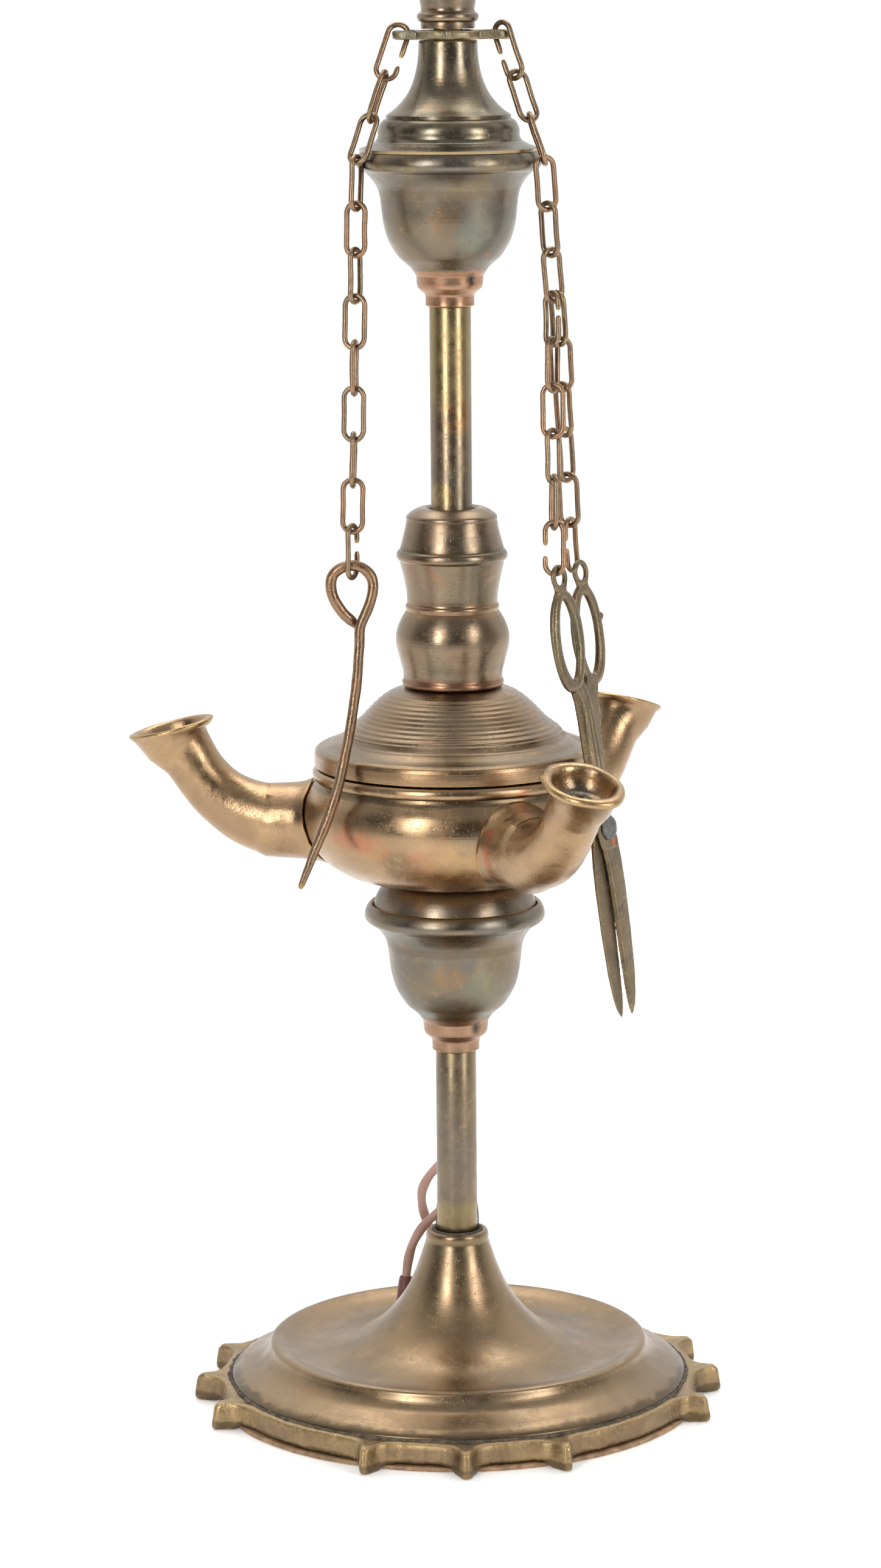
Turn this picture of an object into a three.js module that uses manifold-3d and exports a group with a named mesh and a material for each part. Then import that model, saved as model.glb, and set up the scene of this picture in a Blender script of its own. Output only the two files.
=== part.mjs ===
// Standing oil lamp of the Italian lucerna kind, turned brass, wired as an electric lamp.
// Millimetres, +Z up. The origin is the middle of the underside, on the stem's axis.
import * as THREE from 'three';
import { mergeVertices } from 'three/addons/utils/BufferGeometryUtils.js';
import Module from 'manifold-3d';

const wasm = await Module();
wasm.setup();

// ---------------------------------------------------------------- driving dimensions
const GAP = 0.3;                 // play between pieces that touch
const DISC_TOP = 1.5;            // wood-fibre disc under the foot
const DISC_RADIUS = 84;
const FOOT_TOP = 9.2;            // cast toothed ring
const FOOT_BORE = 26;
const CUSP_RADIUS = 92;          // tips of the teeth
const FOOT_RADIUS = 83;          // ring between the teeth
const CUSP_STEP = 22;            // degrees between the teeth of one group of three
const FOOT_TURN = 1.5;           // degrees
const STEM_RADIUS = 7;           // both stem tubes
const STEM_WALL = 1.1;
const ROD_RADIUS = 5;            // hollow threaded tube that ties the lamp together
const ROD_BORE = 3.6;
const ROD_BOTTOM = 44;
const ROD_TOP = 500;
const CUP_WALL = 0.9;            // spun cups
const LOWER_CUP_Z = 125;         // bottom of each cup's collar
const UPPER_CUP_Z = 381.5;
const FONT_WALL = 1.5;
const SLEEVE_BORE = 7.5;         // oil-tight sleeve of the font, sliding on the stem
const SLEEVE_RADIUS = 8.5;
const SPOUTS = { left: [175, 1.5], front: [-65, 5.5], rear: [52, 5.5] };   // azimuth and droop, degrees
const BAR_BOTTOM = 470;          // bar that the chains hang from
const BAR_TOP = 473;
const LINK_LENGTH = 19.3;        // outside
const LINK_WIDTH = 8.5;          // outside
const LINK_WIRE = 1.8;
const LONG_LINK = 21.3;          // outside, the links through the bar
const LINK_PLAY = 0.45;          // between the wires of two links
const OPEN_GAP = 1.4;            // cut in the links that open
const PICK_WIRE = 3.8;
const BLADE_THICKNESS = 1.9;
const CORD_DIAMETER = 3.4;

// ---------------------------------------------------------------- materials
const metal = (color, roughness) => new THREE.MeshStandardMaterial({ color, roughness, metalness: 1 });
const plain = (color, roughness) => new THREE.MeshStandardMaterial({ color, roughness, metalness: 0 });
const agedBrass = () => metal(0x8a6f45, 0.35);
const castBrass = () => metal(0x9a7a48, 0.45);
const darkBrass = () => metal(0x6b5a40, 0.5);
const copperyWire = () => metal(0x8b6547, 0.45);

// ---------------------------------------------------------------- helpers
const lamp = new THREE.Group();
const rad = THREE.MathUtils.degToRad;
const v3 = (x, y, z) => new THREE.Vector3(x, y, z);

function add(name, geometry, material) {
  const mesh = new THREE.Mesh(geometry, material);
  mesh.name = name;
  lamp.add(mesh);
  return mesh;
}

// A body of revolution about Z. Its outline of [radius, height] runs anticlockwise.
function turned(outline, sides = 28) {
  const points = outline.map(([r, z]) => new THREE.Vector2(r, z));
  return new THREE.LatheGeometry(points, sides).rotateX(Math.PI / 2);
}

// Each point of an outline, moved square to it: to the left of the way it runs, for a positive distance.
function offset(outline, distance) {
  return outline.map(([r, z], i) => {
    const a = outline[Math.max(i - 1, 0)];
    const b = outline[Math.min(i + 1, outline.length - 1)];
    const along = new THREE.Vector2(b[0] - a[0], b[1] - a[1]).normalize();
    return [r - along.y * distance, z + along.x * distance];
  });
}

// A sheet-metal turning. The outline of its outer face runs upwards.
function spun(outline, wall, sides = 28) {
  const inner = offset(outline, wall).filter((_, i) => i % 2 === 0 || i === outline.length - 1);
  inner[0][1] = Math.max(inner[0][1], outline[0][1]);
  return turned([...outline, ...inner.reverse(), outline[0]], sides);
}

function tube(outer, inner, bottom, top, sides = 16) {
  return turned([[inner, bottom], [outer, bottom], [outer, top], [inner, top], [inner, bottom]], sides);
}

// A closed geometry as a solid that can be cut.
function solid(geometry) {
  const bare = new THREE.BufferGeometry();
  bare.setAttribute('position', geometry.attributes.position);
  bare.setIndex(geometry.index);
  const merged = mergeVertices(bare, 1e-4);
  const index = [...merged.index.array];
  const triangles = [];
  for (let i = 0; i < index.length; i += 3) {
    const [a, b, c] = index.slice(i, i + 3);
    if (a !== b && b !== c && c !== a) triangles.push(a, b, c);
  }
  const mesh = { numProp: 3, vertProperties: merged.attributes.position.array, triVerts: new Uint32Array(triangles) };
  return new wasm.Manifold(new wasm.Mesh(mesh));
}

function geometryOf(cut) {
  const mesh = cut.getMesh();
  const geometry = new THREE.BufferGeometry();
  geometry.setAttribute('position', new THREE.BufferAttribute(new Float32Array(mesh.vertProperties), 3));
  geometry.setIndex([...mesh.triVerts]);
  return geometry;
}

// A round bar along a path whose radius changes: radii[i] belongs to points[i]; squeeze narrows it sideways.
function horn(points, radii, steps, sides, squeeze = radii.map(() => 1)) {
  const path = new THREE.CatmullRomCurve3(points);
  const at = (list, t) => {
    const i = Math.min(Math.floor(t * (list.length - 1)), list.length - 2);
    return THREE.MathUtils.lerp(list[i], list[i + 1], t * (list.length - 1) - i);
  };
  const position = [];
  const index = [];
  for (let k = 0; k <= steps; k++) {
    const t = k / steps;
    const up = v3().crossVectors(path.getTangent(t), v3(0, -1, 0)).normalize();
    for (let i = 0; i < sides; i++) {
      const a = 2 * Math.PI * i / sides;
      const p = path.getPoint(t).addScaledVector(up, Math.cos(a) * at(radii, t));
      p.y += Math.sin(a) * at(radii, t) * at(squeeze, t);
      position.push(p.x, p.y, p.z);
    }
  }
  for (let k = 0; k < steps; k++) {
    for (let i = 0; i < sides; i++) {
      const [a, b] = [k * sides + i, k * sides + (i + 1) % sides];
      index.push(a, b, b + sides, a, b + sides, a + sides);
    }
  }
  for (let i = 1; i < sides - 1; i++) {
    index.push(0, i + 1, i, steps * sides, steps * sides + i, steps * sides + i + 1);
  }
  const geometry = new THREE.BufferGeometry();
  geometry.setAttribute('position', new THREE.Float32BufferAttribute(position, 3));
  geometry.setIndex(index);
  return geometry;
}

// A round bar of one thickness along a path.
function bar(path, radius, steps, sides = 8) {
  const round = new THREE.Shape();
  round.absarc(0, 0, radius, 0, 2 * Math.PI, false);
  const section = new THREE.Shape(round.getPoints(sides).slice(0, sides));
  return new THREE.ExtrudeGeometry(section, { steps, extrudePath: path, bevelEnabled: false });
}

// ---------------------------------------------------------------- base
function toothedOutline() {
  const outline = new THREE.Shape();
  const polar = (r, a) => [r * Math.cos(rad(a)), r * Math.sin(rad(a))];
  const cusps = [];
  for (let group = 0; group < 4; group++) {
    for (const k of [-1, 0, 1]) cusps.push(group * 90 + k * CUSP_STEP + FOOT_TURN);
  }
  cusps.forEach((cusp, i) => {
    const next = cusps[(i + 1) % cusps.length] + (i === cusps.length - 1 ? 360 : 0);
    const flank = 5;                                   // degrees taken by the hollow beside a tooth
    const tip = polar(CUSP_RADIUS, cusp - 0.9);
    if (i === 0) outline.moveTo(...tip);
    outline.lineTo(...polar(CUSP_RADIUS, cusp + 0.9));
    outline.lineTo(...polar(CUSP_RADIUS - 5, cusp + 1.9));
    outline.lineTo(...polar(FOOT_RADIUS + 0.8, cusp + flank));
    const spread = next - cusp - 2 * flank;
    const steps = Math.max(2, Math.round(spread / 9));
    for (let s = 1; s < steps; s++) outline.lineTo(...polar(FOOT_RADIUS, cusp + flank + spread * s / steps));
    outline.lineTo(...polar(FOOT_RADIUS + 0.8, next - flank));
    outline.lineTo(...polar(CUSP_RADIUS - 5, next - 1.9));
    if (i < cusps.length - 1) outline.lineTo(...polar(CUSP_RADIUS, next - 0.9));
  });
  outline.closePath();
  return outline;
}

function toothedFoot() {
  const outline = toothedOutline();
  const bore = new THREE.Path();
  bore.absarc(0, 0, FOOT_BORE, 0, 2 * Math.PI, true);
  outline.holes.push(bore);
  const bottom = DISC_TOP + GAP;
  return new THREE.ExtrudeGeometry(outline, { depth: FOOT_TOP - bottom, bevelEnabled: false, curveSegments: 14 })
    .translate(0, 0, bottom);
}

// The skirt, the rolled rim, the dish and the cone, from the outside in.
const DISH = [
  [79.2, 9.5], [78.6, 10.7], [76.3, 12.3], [72.5, 13.9], [69, 15.8], [66.6, 18], [65.7, 20.3], [64, 21.7],
  [61.5, 21.1], [57.5, 19.4], [52, 18.2], [45, 18.9], [38, 20.8], [31.5, 24.2], [26.4, 28.2], [21.2, 34],
  [17, 40.6], [14, 47.4], [11.8, 54], [10.2, 59], [9.6, 60.4],
];
const DISH_WALL = 1.4;
const SLEEVE_AT = v3(-18.9, 12.4, 32.4);         // where the flex comes out of the dish
const SLEEVE_WAY = v3(0.1, 0.16, 0.98).normalize();

function baseDish() {
  const shell = solid(spun(DISH, DISH_WALL, 28));
  const hole = solid(new THREE.CylinderGeometry(2.9, 2.9, 14, 10).rotateX(Math.PI / 2)
    .applyQuaternion(new THREE.Quaternion().setFromUnitVectors(v3(0, 0, 1), SLEEVE_WAY))
    .translate(SLEEVE_AT.x, SLEEVE_AT.y, SLEEVE_AT.z));
  return geometryOf(shell.subtract(hole));
}

function cordSleeve() {
  const outline = [[1.9, -4], [2.6, -4], [2.6, 3], [2.1, 7], [1.9, 7], [1.9, -4]];
  return turned(outline, 10)
    .applyQuaternion(new THREE.Quaternion().setFromUnitVectors(v3(0, 0, 1), SLEEVE_WAY))
    .translate(SLEEVE_AT.x, SLEEVE_AT.y, SLEEVE_AT.z);
}

function baseNut() {
  const nut = new THREE.Shape();
  for (let i = 0; i < 6; i++) {
    const a = rad(60 * i);
    const p = [8 * Math.cos(a), 8 * Math.sin(a)];
    if (i) nut.lineTo(...p);
    else nut.moveTo(...p);
  }
  const bore = new THREE.Path();
  bore.absarc(0, 0, ROD_RADIUS + GAP, 0, 2 * Math.PI, true);
  nut.holes.push(bore);
  return new THREE.ExtrudeGeometry(nut, { depth: 5, bevelEnabled: false, curveSegments: 12 }).translate(0, 0, 47);
}

add('foot_disc', turned([[0, 0], [DISC_RADIUS, 0], [DISC_RADIUS, DISC_TOP], [0, DISC_TOP]], 40), plain(0x9c6d44, 0.8));
add('toothed_foot', toothedFoot(), castBrass());
add('base_dish', baseDish(), agedBrass());
add('base_nut', baseNut(), metal(0x8f8a80, 0.5));
add('tie_rod', tube(ROD_RADIUS, ROD_BORE, ROD_BOTTOM, ROD_TOP, 14), metal(0x8f8a80, 0.5));
add('lower_tube', tube(STEM_RADIUS, STEM_RADIUS - STEM_WALL, 52.6, 130), agedBrass());

// ---------------------------------------------------------------- cups on the stem
// Outer face of a cup from its collar to its rim, above the bottom of the collar.
const CUP = [
  [8.2, 0], [8.2, 3.7], [9.2, 5.2], [10.8, 6.8], [11.2, 9.2], [12.1, 11.8], [14, 13.8], [17, 16.5], [20.6, 22.5],
  [22.3, 28.5], [22.9, 34], [24, 39.4], [26.6, 43.2], [28.9, 45.5], [30.6, 46.4], [30.9, 48.6], [30, 51], [29.2, 52],
];

function cup(bottom) {
  return spun(CUP.map(([r, z]) => [r, z + bottom]), CUP_WALL, 20);
}

const CUP_DISC = [[28, 176.6], [26.9, 179.8], [24.8, 183.2], [22.4, 185], [19, 185.7], [STEM_RADIUS + 0.6, 185.7]];

const BELL = [
  [30.2, 434], [26.4, 435.7], [23.6, 437.9], [23.2, 440.4], [22.4, 443], [21.3, 443.8], [20.6, 445.4], [18.1, 447],
  [13.9, 451.7], [11.4, 457], [10.1, 462.8], [9.5, 469.7], [ROD_RADIUS + 0.4, 469.7],
];

add('lower_cup', cup(LOWER_CUP_Z), agedBrass());
add('lower_cup_disc', spun(CUP_DISC, 1.1, 20), agedBrass());
add('upper_tube', tube(STEM_RADIUS, STEM_RADIUS - STEM_WALL, 165, 387), agedBrass());
add('upper_cup', cup(UPPER_CUP_Z), agedBrass());
add('upper_bell', spun(BELL, 1, 20), agedBrass());

// ---------------------------------------------------------------- font: the oil reservoir, its lid, neck and spouts
const BOWL = [
  [SLEEVE_RADIUS + GAP, 186], [24, 186], [33, 186.9], [40, 189.5], [46, 194.2], [49.9, 199.8], [51.7, 205.4],
  [51.9, 210.5], [50.8, 214.8], [48.7, 218.2], [47.5, 220.6], [48.4, 222], [48.3, 223.6], [46.8, 224.8],
];
const LID = [
  [47.6, 225.2], [47.6, 230.2], [46.2, 231.7], [42, 233.1], [38.2, 235.2], [37, 237.1], [32, 240.9], [27.2, 246.1],
  [22.3, 250], [17.6, 252], [15.2, 252],
];
const NECK = [
  [16.9, 252.4], [17, 256], [18.4, 262.8], [19.4, 268], [18.6, 273], [16.6, 277.3], [15.1, 279.6], [15.4, 285],
  [17.2, 293], [18.8, 297.4], [16.6, 302], [15.2, 307.6], [14.4, 309.9], [12, 312.6], [10, 313.3], [8.4, 312.6],
];

// Centre line of a spout in its own upright plane, as [distance from the axis, height], with its radius there.
const SPOUT = [
  [44, 204.5, 13.9], [54, 204.8, 13.6], [64, 206, 12.4], [73, 209.3, 11.2], [81, 215, 10], [86.7, 221.5, 9.4],
  [90.6, 228, 9.7], [93.8, 232.4, 11.2], [95.6, 235.4, 13], [96.4, 238.6, 15],
];
const SPOUT_BORE = [[34, 204.5, 10], [50, 204.7, 10], [66, 206.6, 9], [77, 211.8, 7.5], [86.7, 221.5, 6], [93.2, 232.2, 5.6]];
const MOUTH_CUP = [[93.2, 231, 7.6], [94.9, 234, 9], [96, 237, 10.2], [96.7, 240.6, 10.6]];
const onPlane = (list) => list.map(([x, z]) => v3(x, 0, z));
const radii = (list) => list.map(([, , r]) => r);
const MOUTH_SQUEEZE = SPOUT.map((_, i) => (i < 7 ? 1 : 1 - 0.05 * (i - 6)));

const bowlBody = solid(turned([[0, 185.7], ...offset(BOWL, -GAP).slice(1), [0, 225]], 24));
const spoutBore = solid(horn(onPlane(SPOUT_BORE), radii(SPOUT_BORE), 6, 9));
const mouthCup = solid(horn(onPlane(MOUTH_CUP), radii(MOUTH_CUP), 2, 12));

// Turns what was made in the XZ plane to a spout's place: it droops about its root, then goes round the axis.
function atSpout(body, [azimuth, droop]) {
  const root = [-50, 0, -204.7];
  return body.translate(root).rotate([0, droop, 0]).translate(root.map((v) => -v)).rotate([0, 0, azimuth]);
}

function spout(place) {
  const body = solid(horn(onPlane(SPOUT), radii(SPOUT), 8, 11, MOUTH_SQUEEZE));
  return geometryOf(atSpout(body.subtract(spoutBore).subtract(mouthCup), place).subtract(bowlBody));
}

function fontBowl() {
  let shell = solid(spun(BOWL, FONT_WALL, 24));
  for (const place of Object.values(SPOUTS)) shell = shell.subtract(atSpout(spoutBore, place));
  return geometryOf(shell);
}

add('font_sleeve', tube(SLEEVE_RADIUS, SLEEVE_BORE, 186.1, 300), agedBrass());
add('font_bowl', fontBowl(), agedBrass());
add('font_lid', spun(LID, 1.4, 24), agedBrass());
add('font_neck', spun(NECK, 1.5, 20), agedBrass());
for (const [side, place] of Object.entries(SPOUTS)) add(`spout_${side}`, spout(place), castBrass());

// ---------------------------------------------------------------- top: chain bar, spool and lampholder
function chainBar() {
  const half = 19.9;
  const arm = 4.2;
  const hub = 11.4;
  const outline = new THREE.Shape();
  const meet = Math.asin(arm / hub);
  outline.absarc(0, 0, hub, meet, Math.PI - meet, false);
  outline.absarc(1.4 - half + arm, 0, arm, Math.PI / 2, 1.5 * Math.PI, false);
  outline.absarc(0, 0, hub, Math.PI + meet, 2 * Math.PI - meet, false);
  outline.absarc(1.4 + half - arm, 0, arm, -Math.PI / 2, Math.PI / 2, false);
  for (const [x, r] of [[-12.9, 2.7], [0, ROD_RADIUS + 0.4], [15.4, 2.7]]) {
    const hole = new THREE.Path();
    hole.absarc(x, 0, r, 0, 2 * Math.PI, true);
    outline.holes.push(hole);
  }
  return new THREE.ExtrudeGeometry(outline, { depth: BAR_TOP - BAR_BOTTOM, bevelEnabled: false, curveSegments: 8 })
    .translate(0, 0, BAR_BOTTOM);
}

const SPOOL_BORE = ROD_RADIUS + 0.4;
const SPOOL = [
  [SPOOL_BORE, 473.5], [8.9, 473.5], [8.9, 475.7], [10.1, 476.6], [10.1, 478.3], [9, 479.4], [9.6, 483.5],
  [11.2, 488], [11.6, 492], [9, 495], [SPOOL_BORE, 495], [SPOOL_BORE, 473.5],
];
const HOLDER = [
  [SPOOL_BORE, 495.3], [9.5, 495.3], [13.2, 498], [14, 501], [14, 541], [13.2, 543], [12.4, 543], [12.4, 503.5],
  [SPOOL_BORE, 500.5], [SPOOL_BORE, 495.3],
];
const INSERT = [[0, 504], [12.1, 504], [12.1, 542], [7.4, 542], [7.4, 510], [0, 510]];

add('chain_bar', chainBar(), darkBrass());
add('top_spool', turned(SPOOL, 20), agedBrass());
add('lampholder_shell', turned(HOLDER, 20), agedBrass());
add('lampholder_insert', turned(INSERT, 20), plain(0xe6e0d2, 0.4));

// ---------------------------------------------------------------- chains
const LINK_BEND = (LINK_WIDTH - LINK_WIRE) / 2;             // radius of a link's round ends, on the wire's centre
const CROSSING = (LINK_WIRE + LINK_PLAY) / 2;                     // centre of a wire to the point where two links cross
const pitch = (length) => length - LINK_WIRE - 2 * CROSSING;

function closedLink(length) {
  const arcs = 10;
  const straight = (length - LINK_WIDTH) / 2;
  const link = new THREE.TorusGeometry(LINK_BEND, LINK_WIRE / 2, 6, arcs).rotateZ(Math.PI / arcs);
  const place = link.attributes.position;
  for (let i = 0; i < place.count; i++) place.setY(i, place.getY(i) + Math.sign(place.getY(i)) * straight);
  return link;
}

// A link cut through on one long side (1 or -1), at a height above its middle.
function openLink(length, cutAt, side) {
  const half = (length - LINK_WIDTH) / 2;
  const x = side * LINK_BEND;
  const end = (y, from) => [0, 1, 2, 3].map((k) => {
    const a = from + side * k * Math.PI / 3;
    return v3(LINK_BEND * Math.cos(a), y + LINK_BEND * Math.sin(a), 0);
  });
  const start = side > 0 ? 0 : Math.PI;
  const way = [
    v3(x, cutAt + OPEN_GAP / 2, 0), ...end(half, start), ...end(-half, start + Math.PI),
    v3(x, cutAt - OPEN_GAP / 2, 0),
  ];
  return bar(new THREE.CatmullRomCurve3(way, false, 'centripetal'), LINK_WIRE / 2, 18, 6);
}

// Hangs one link from a point towards another, its width turned about Z, and gives where the next one hangs.
function hang(name, from, towards, turn, { length = LINK_LENGTH, cut } = {}) {
  const down = v3().subVectors(towards, from).normalize();
  const faced = v3(Math.cos(rad(turn)), Math.sin(rad(turn)), 0);
  const width = faced.addScaledVector(down, -faced.dot(down)).normalize();
  const up = down.clone().negate();
  const link = add(name, cut ? openLink(length, ...cut) : closedLink(length), copperyWire());
  const middle = from.clone().addScaledVector(down, pitch(length) / 2);
  const place = new THREE.Matrix4().makeBasis(width, up, v3().crossVectors(width, up)).setPosition(middle);
  link.applyMatrix4(place);
  return from.clone().addScaledVector(down, pitch(length));
}

// Hangs a row of links from a point towards another, one for each turn.
function chain(side, first, start, goal, turns, cuts = {}) {
  let from = start;
  turns.forEach((turn, i) => {
    from = hang(`${side}_link_${first + i}`, from, goal, turn, { cut: cuts[first + i] });
  });
  return from;
}

// The chains hang from the bar, pass the rim of the upper cup and go on to the tools.
const LEFT_TOP = v3(-15.9, 0, 473.8);
const LEFT_RIM = v3(-30.7, -15.4, 430.8);
const LEFT_END = v3(-33.4, -27.8, 294.5);
const RIGHT_TOP = v3(17.4, -1.4, 474.2);
const RIGHT_RIM = v3(32.2, -14.4, 428.5);
const RIGHT_END = v3(34.9, -13, 384);
const EYE_A = v3(34.2, -28.5, 295);
const EYES = v3(0.55, 0.835, 0).normalize();      // from the eye of one half to the other's
const OUTWARD = v3(EYES.y, -EYES.x, 0);
const EYE_SPREAD = 9;                           // each eye from the middle of the pair
const BESIDE_EYE = EYE_A.clone().addScaledVector(EYES, 2 * EYE_SPREAD).addScaledVector(OUTWARD, -4.2);

const leftFirst = hang('left_link_1', LEFT_TOP, LEFT_RIM, 0, { length: LONG_LINK, cut: [-3, 1] });
const leftRim = chain('left', 2, leftFirst, LEFT_RIM, [75, -35]);
const leftEnd = chain('left', 4, leftRim, LEFT_END, [65, -24, 63, -18, 80, -10, 85, 0, 65], { 12: [1, 1] });
const rightFirst = hang('right_link_1', RIGHT_TOP, RIGHT_RIM, -40, { length: LONG_LINK, cut: [-1, -1] });
const rightRim = chain('right', 2, rightFirst, RIGHT_RIM, [30, -85]);
const fork = chain('right', 4, rightRim, RIGHT_END, [28, -45, 38]);

// Both branches hang side by side in the last common link.
const apart = v3(Math.cos(rad(38)), Math.sin(rad(38)), 0).multiplyScalar(CROSSING);
const forkA = fork.clone().sub(apart).add(v3(0, 0, 0.75));
const forkB = fork.clone().add(apart).add(v3(0, 0, 0.75));
const endA = chain('fork_a', 1, forkA, EYE_A, [-52, 60, -8, 52, -78, -28], { 1: [2, 1], 6: [-1, -1] });
chain('fork_b', 1, forkB, BESIDE_EYE, [-52, 8, -50, 50, -30, 60], { 6: [0, -1] });

// ---------------------------------------------------------------- wick pick
// Route of its wire from the tucked-in end round the ring and down to the tip: across, and down from the ring's top.
const PICK_LEAN = rad(6.8);
const PICK_ROUTE = [
  [1.3, 20.2], [-3.4, 15.6], [-6.9, 9.2], [-6.6, 3.6], [-3.6, 0.8], [0, 0], [3.8, 1], [6.6, 4.4], [6.8, 9], [4.8, 15.2],
  [2.6, 20.4], [2.2, 26], [1.4, 37], [-0.4, 50], [-2.6, 62], [-5.6, 75], [-9.4, 86], [-14, 97], [-18.4, 108],
];

function pick() {
  const points = PICK_ROUTE.map(([x, down], i) => v3(x, i < 2 ? 3.9 - 1.6 * i : i < 4 ? 1.2 - 0.6 * (i - 2) : 0, -down));
  const wire = bar(new THREE.CatmullRomCurve3(points, false, 'centripetal'), PICK_WIRE / 2, 32, 6);
  const top = leftEnd.clone().add(v3(0, 0, PICK_WIRE / 2 + GAP + 0.8));
  return wire.rotateX(-PICK_LEAN).translate(top.x, top.y, top.z);
}

add('pick', pick(), copperyWire());

// ---------------------------------------------------------------- wick scissors
const EYE_HEIGHT = 86;                              // eye above the pivot
const EYE_RADIUS = 4.4;
const EYE_BORE = 2.6;
const TIP_DROP = 64.5;
const SCISSORS_LEAN = rad(8.5);

// One half, seen from outside, pivot at the origin, its ring on the left and its blade on the right.
function half() {
  const ringX = -EYE_SPREAD;
  const ringZ = 64.8;
  const outline = new THREE.Shape();
  outline.moveTo(4.6, 0);
  outline.lineTo(4.2, 5);
  outline.lineTo(0.6, 30);
  outline.lineTo(-1.8, 48);
  outline.absellipse(ringX, ringZ, 8.9, 17.2, -0.9, 1.2, false, 0);
  outline.absarc(ringX + 0.4, EYE_HEIGHT, EYE_RADIUS, -0.6, Math.PI + 0.6, false);
  outline.absellipse(ringX, ringZ, 8.9, 17.2, Math.PI - 1.2, 1.5 * Math.PI - 0.1, false, 0);
  outline.lineTo(-7, 44);
  outline.lineTo(-5, 14);
  outline.lineTo(-4.8, 2);
  outline.lineTo(-3.6, -5);
  outline.lineTo(-1.2, -16);
  outline.lineTo(0.5, -TIP_DROP + 4.5);
  outline.lineTo(2.6, -TIP_DROP);
  outline.lineTo(4.6, -TIP_DROP + 3.5);
  outline.lineTo(6.2, -45);
  outline.lineTo(7, -22);
  outline.lineTo(6.6, -6);
  outline.closePath();
  const ring = new THREE.Path();
  ring.absellipse(ringX, ringZ, 5.6, 13.6, 0, 2 * Math.PI, true, 0);
  const eye = new THREE.Path();
  eye.absarc(ringX + 0.4, EYE_HEIGHT, EYE_BORE, 0, 2 * Math.PI, true);
  const pivot = new THREE.Path();
  pivot.absarc(0, 0, 1.9, 0, 2 * Math.PI, true);
  outline.holes.push(ring, eye, pivot);
  return new THREE.ExtrudeGeometry(outline, { depth: BLADE_THICKNESS, bevelEnabled: false, curveSegments: 7 });
}

// Both halves stand in the plane of the two eyes, which leans out over the font.
function scissors() {
  const up = v3(0, 0, Math.cos(SCISSORS_LEAN)).addScaledVector(OUTWARD, -Math.sin(SCISSORS_LEAN));
  const place = new THREE.Matrix4().makeBasis(EYES, up, v3().crossVectors(EYES, up));
  const drop = EYE_HEIGHT + EYE_BORE - CROSSING + LINK_WIRE / 2 + 0.1;
  place.setPosition(endA.clone().addScaledVector(EYES, EYE_SPREAD).addScaledVector(up, -drop));
  const face = BLADE_THICKNESS + GAP / 2;
  const screw = [[0, -face], [1.6, -face], [1.6, face + GAP], [4, face + GAP], [3.6, face + 1.5], [0, face + 2]];
  add('scissors_half_a', half().translate(0, 0, GAP / 2).applyMatrix4(place), darkBrass());
  add('scissors_half_b', half().rotateY(Math.PI).translate(0, 0, -GAP / 2).applyMatrix4(place), darkBrass());
  add('scissors_screw', turned(screw, 12).applyMatrix4(place), metal(0x77726a, 0.4));
}

scissors();

// ---------------------------------------------------------------- flex
// Out of the sleeve, round in one loop behind the stem, over the dish and the foot and along the floor to the hank.
const CORD_ROUTE = [
  [-18.1, 13.7, 40], [-17.3, 14.4, 45.4], [-15.5, 15, 51.2], [-12, 15, 57], [-7.4, 15.1, 61.4], [-2.4, 16, 65.2],
  [2.2, 18.2, 69.4], [4.4, 21.6, 74.4], [2.8, 24.4, 78.8], [-1.6, 25.2, 79.8], [-5.8, 24.2, 77], [-9.8, 23.2, 73],
  [-12.3, 22.8, 68], [-12.4, 22.8, 63], [-11.2, 24, 57.6], [-8.6, 28, 50.4], [-5.6, 34.4, 42.6], [-2.6, 42, 35.2],
  [0.4, 51, 29.4], [3.2, 60.4, 25.8], [5.6, 70, 22.6], [8.2, 80, 17.4], [11, 90, 12.2], [13.6, 99, 6],
  [15.4, 107, 2.6], [16.4, 116, 1.9], [16.6, 130, 1.9], [14.6, 142, 1.9], [9.6, 152, 1.9], [5.4, 159, 1.9],
  [4.9, 163, 1.9],
];
const HANK = { front: 164, back: 216, halfWidth: 7, top: 20 };
const PLUG = { front: 100, back: 146, halfWidth: 12.8, halfHeight: 6.8 };

function hank() {
  const outline = new THREE.Shape();
  const end = (HANK.top - 0.2) / 2;
  outline.absarc(HANK.front + end, 0, end, Math.PI / 2, 1.5 * Math.PI, false);
  outline.absarc(HANK.back - end, 0, end, 1.5 * Math.PI, 2.5 * Math.PI, false);
  return new THREE.ExtrudeGeometry(outline, { depth: 2 * HANK.halfWidth, bevelEnabled: false, curveSegments: 6 })
    .rotateX(Math.PI / 2).rotateZ(Math.PI / 2).translate(-HANK.halfWidth, 0, end + 0.2);
}

function plug() {
  const { front, back, halfWidth, halfHeight } = PLUG;
  const outline = new THREE.Shape();
  const top = [[-halfWidth, front + 19], [halfWidth, front + 19], [halfWidth, back - 12], [3.4, back], [-3.4, back]];
  top.forEach(([x, y], i) => (i ? outline.lineTo(x, y) : outline.moveTo(x, y)));
  outline.lineTo(-halfWidth, back - 12);
  outline.closePath();
  const body = new THREE.ExtrudeGeometry(outline, { depth: 2 * halfHeight, bevelEnabled: false });
  let whole = solid(body.translate(0, 0, 0.1));
  for (const x of [-9.4, 9.4]) {
    const pin = new THREE.CylinderGeometry(2, 2, 22, 10).translate(x, front + 11, halfHeight + 0.1);
    whole = whole.add(solid(pin));
  }
  return geometryOf(whole);
}

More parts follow.
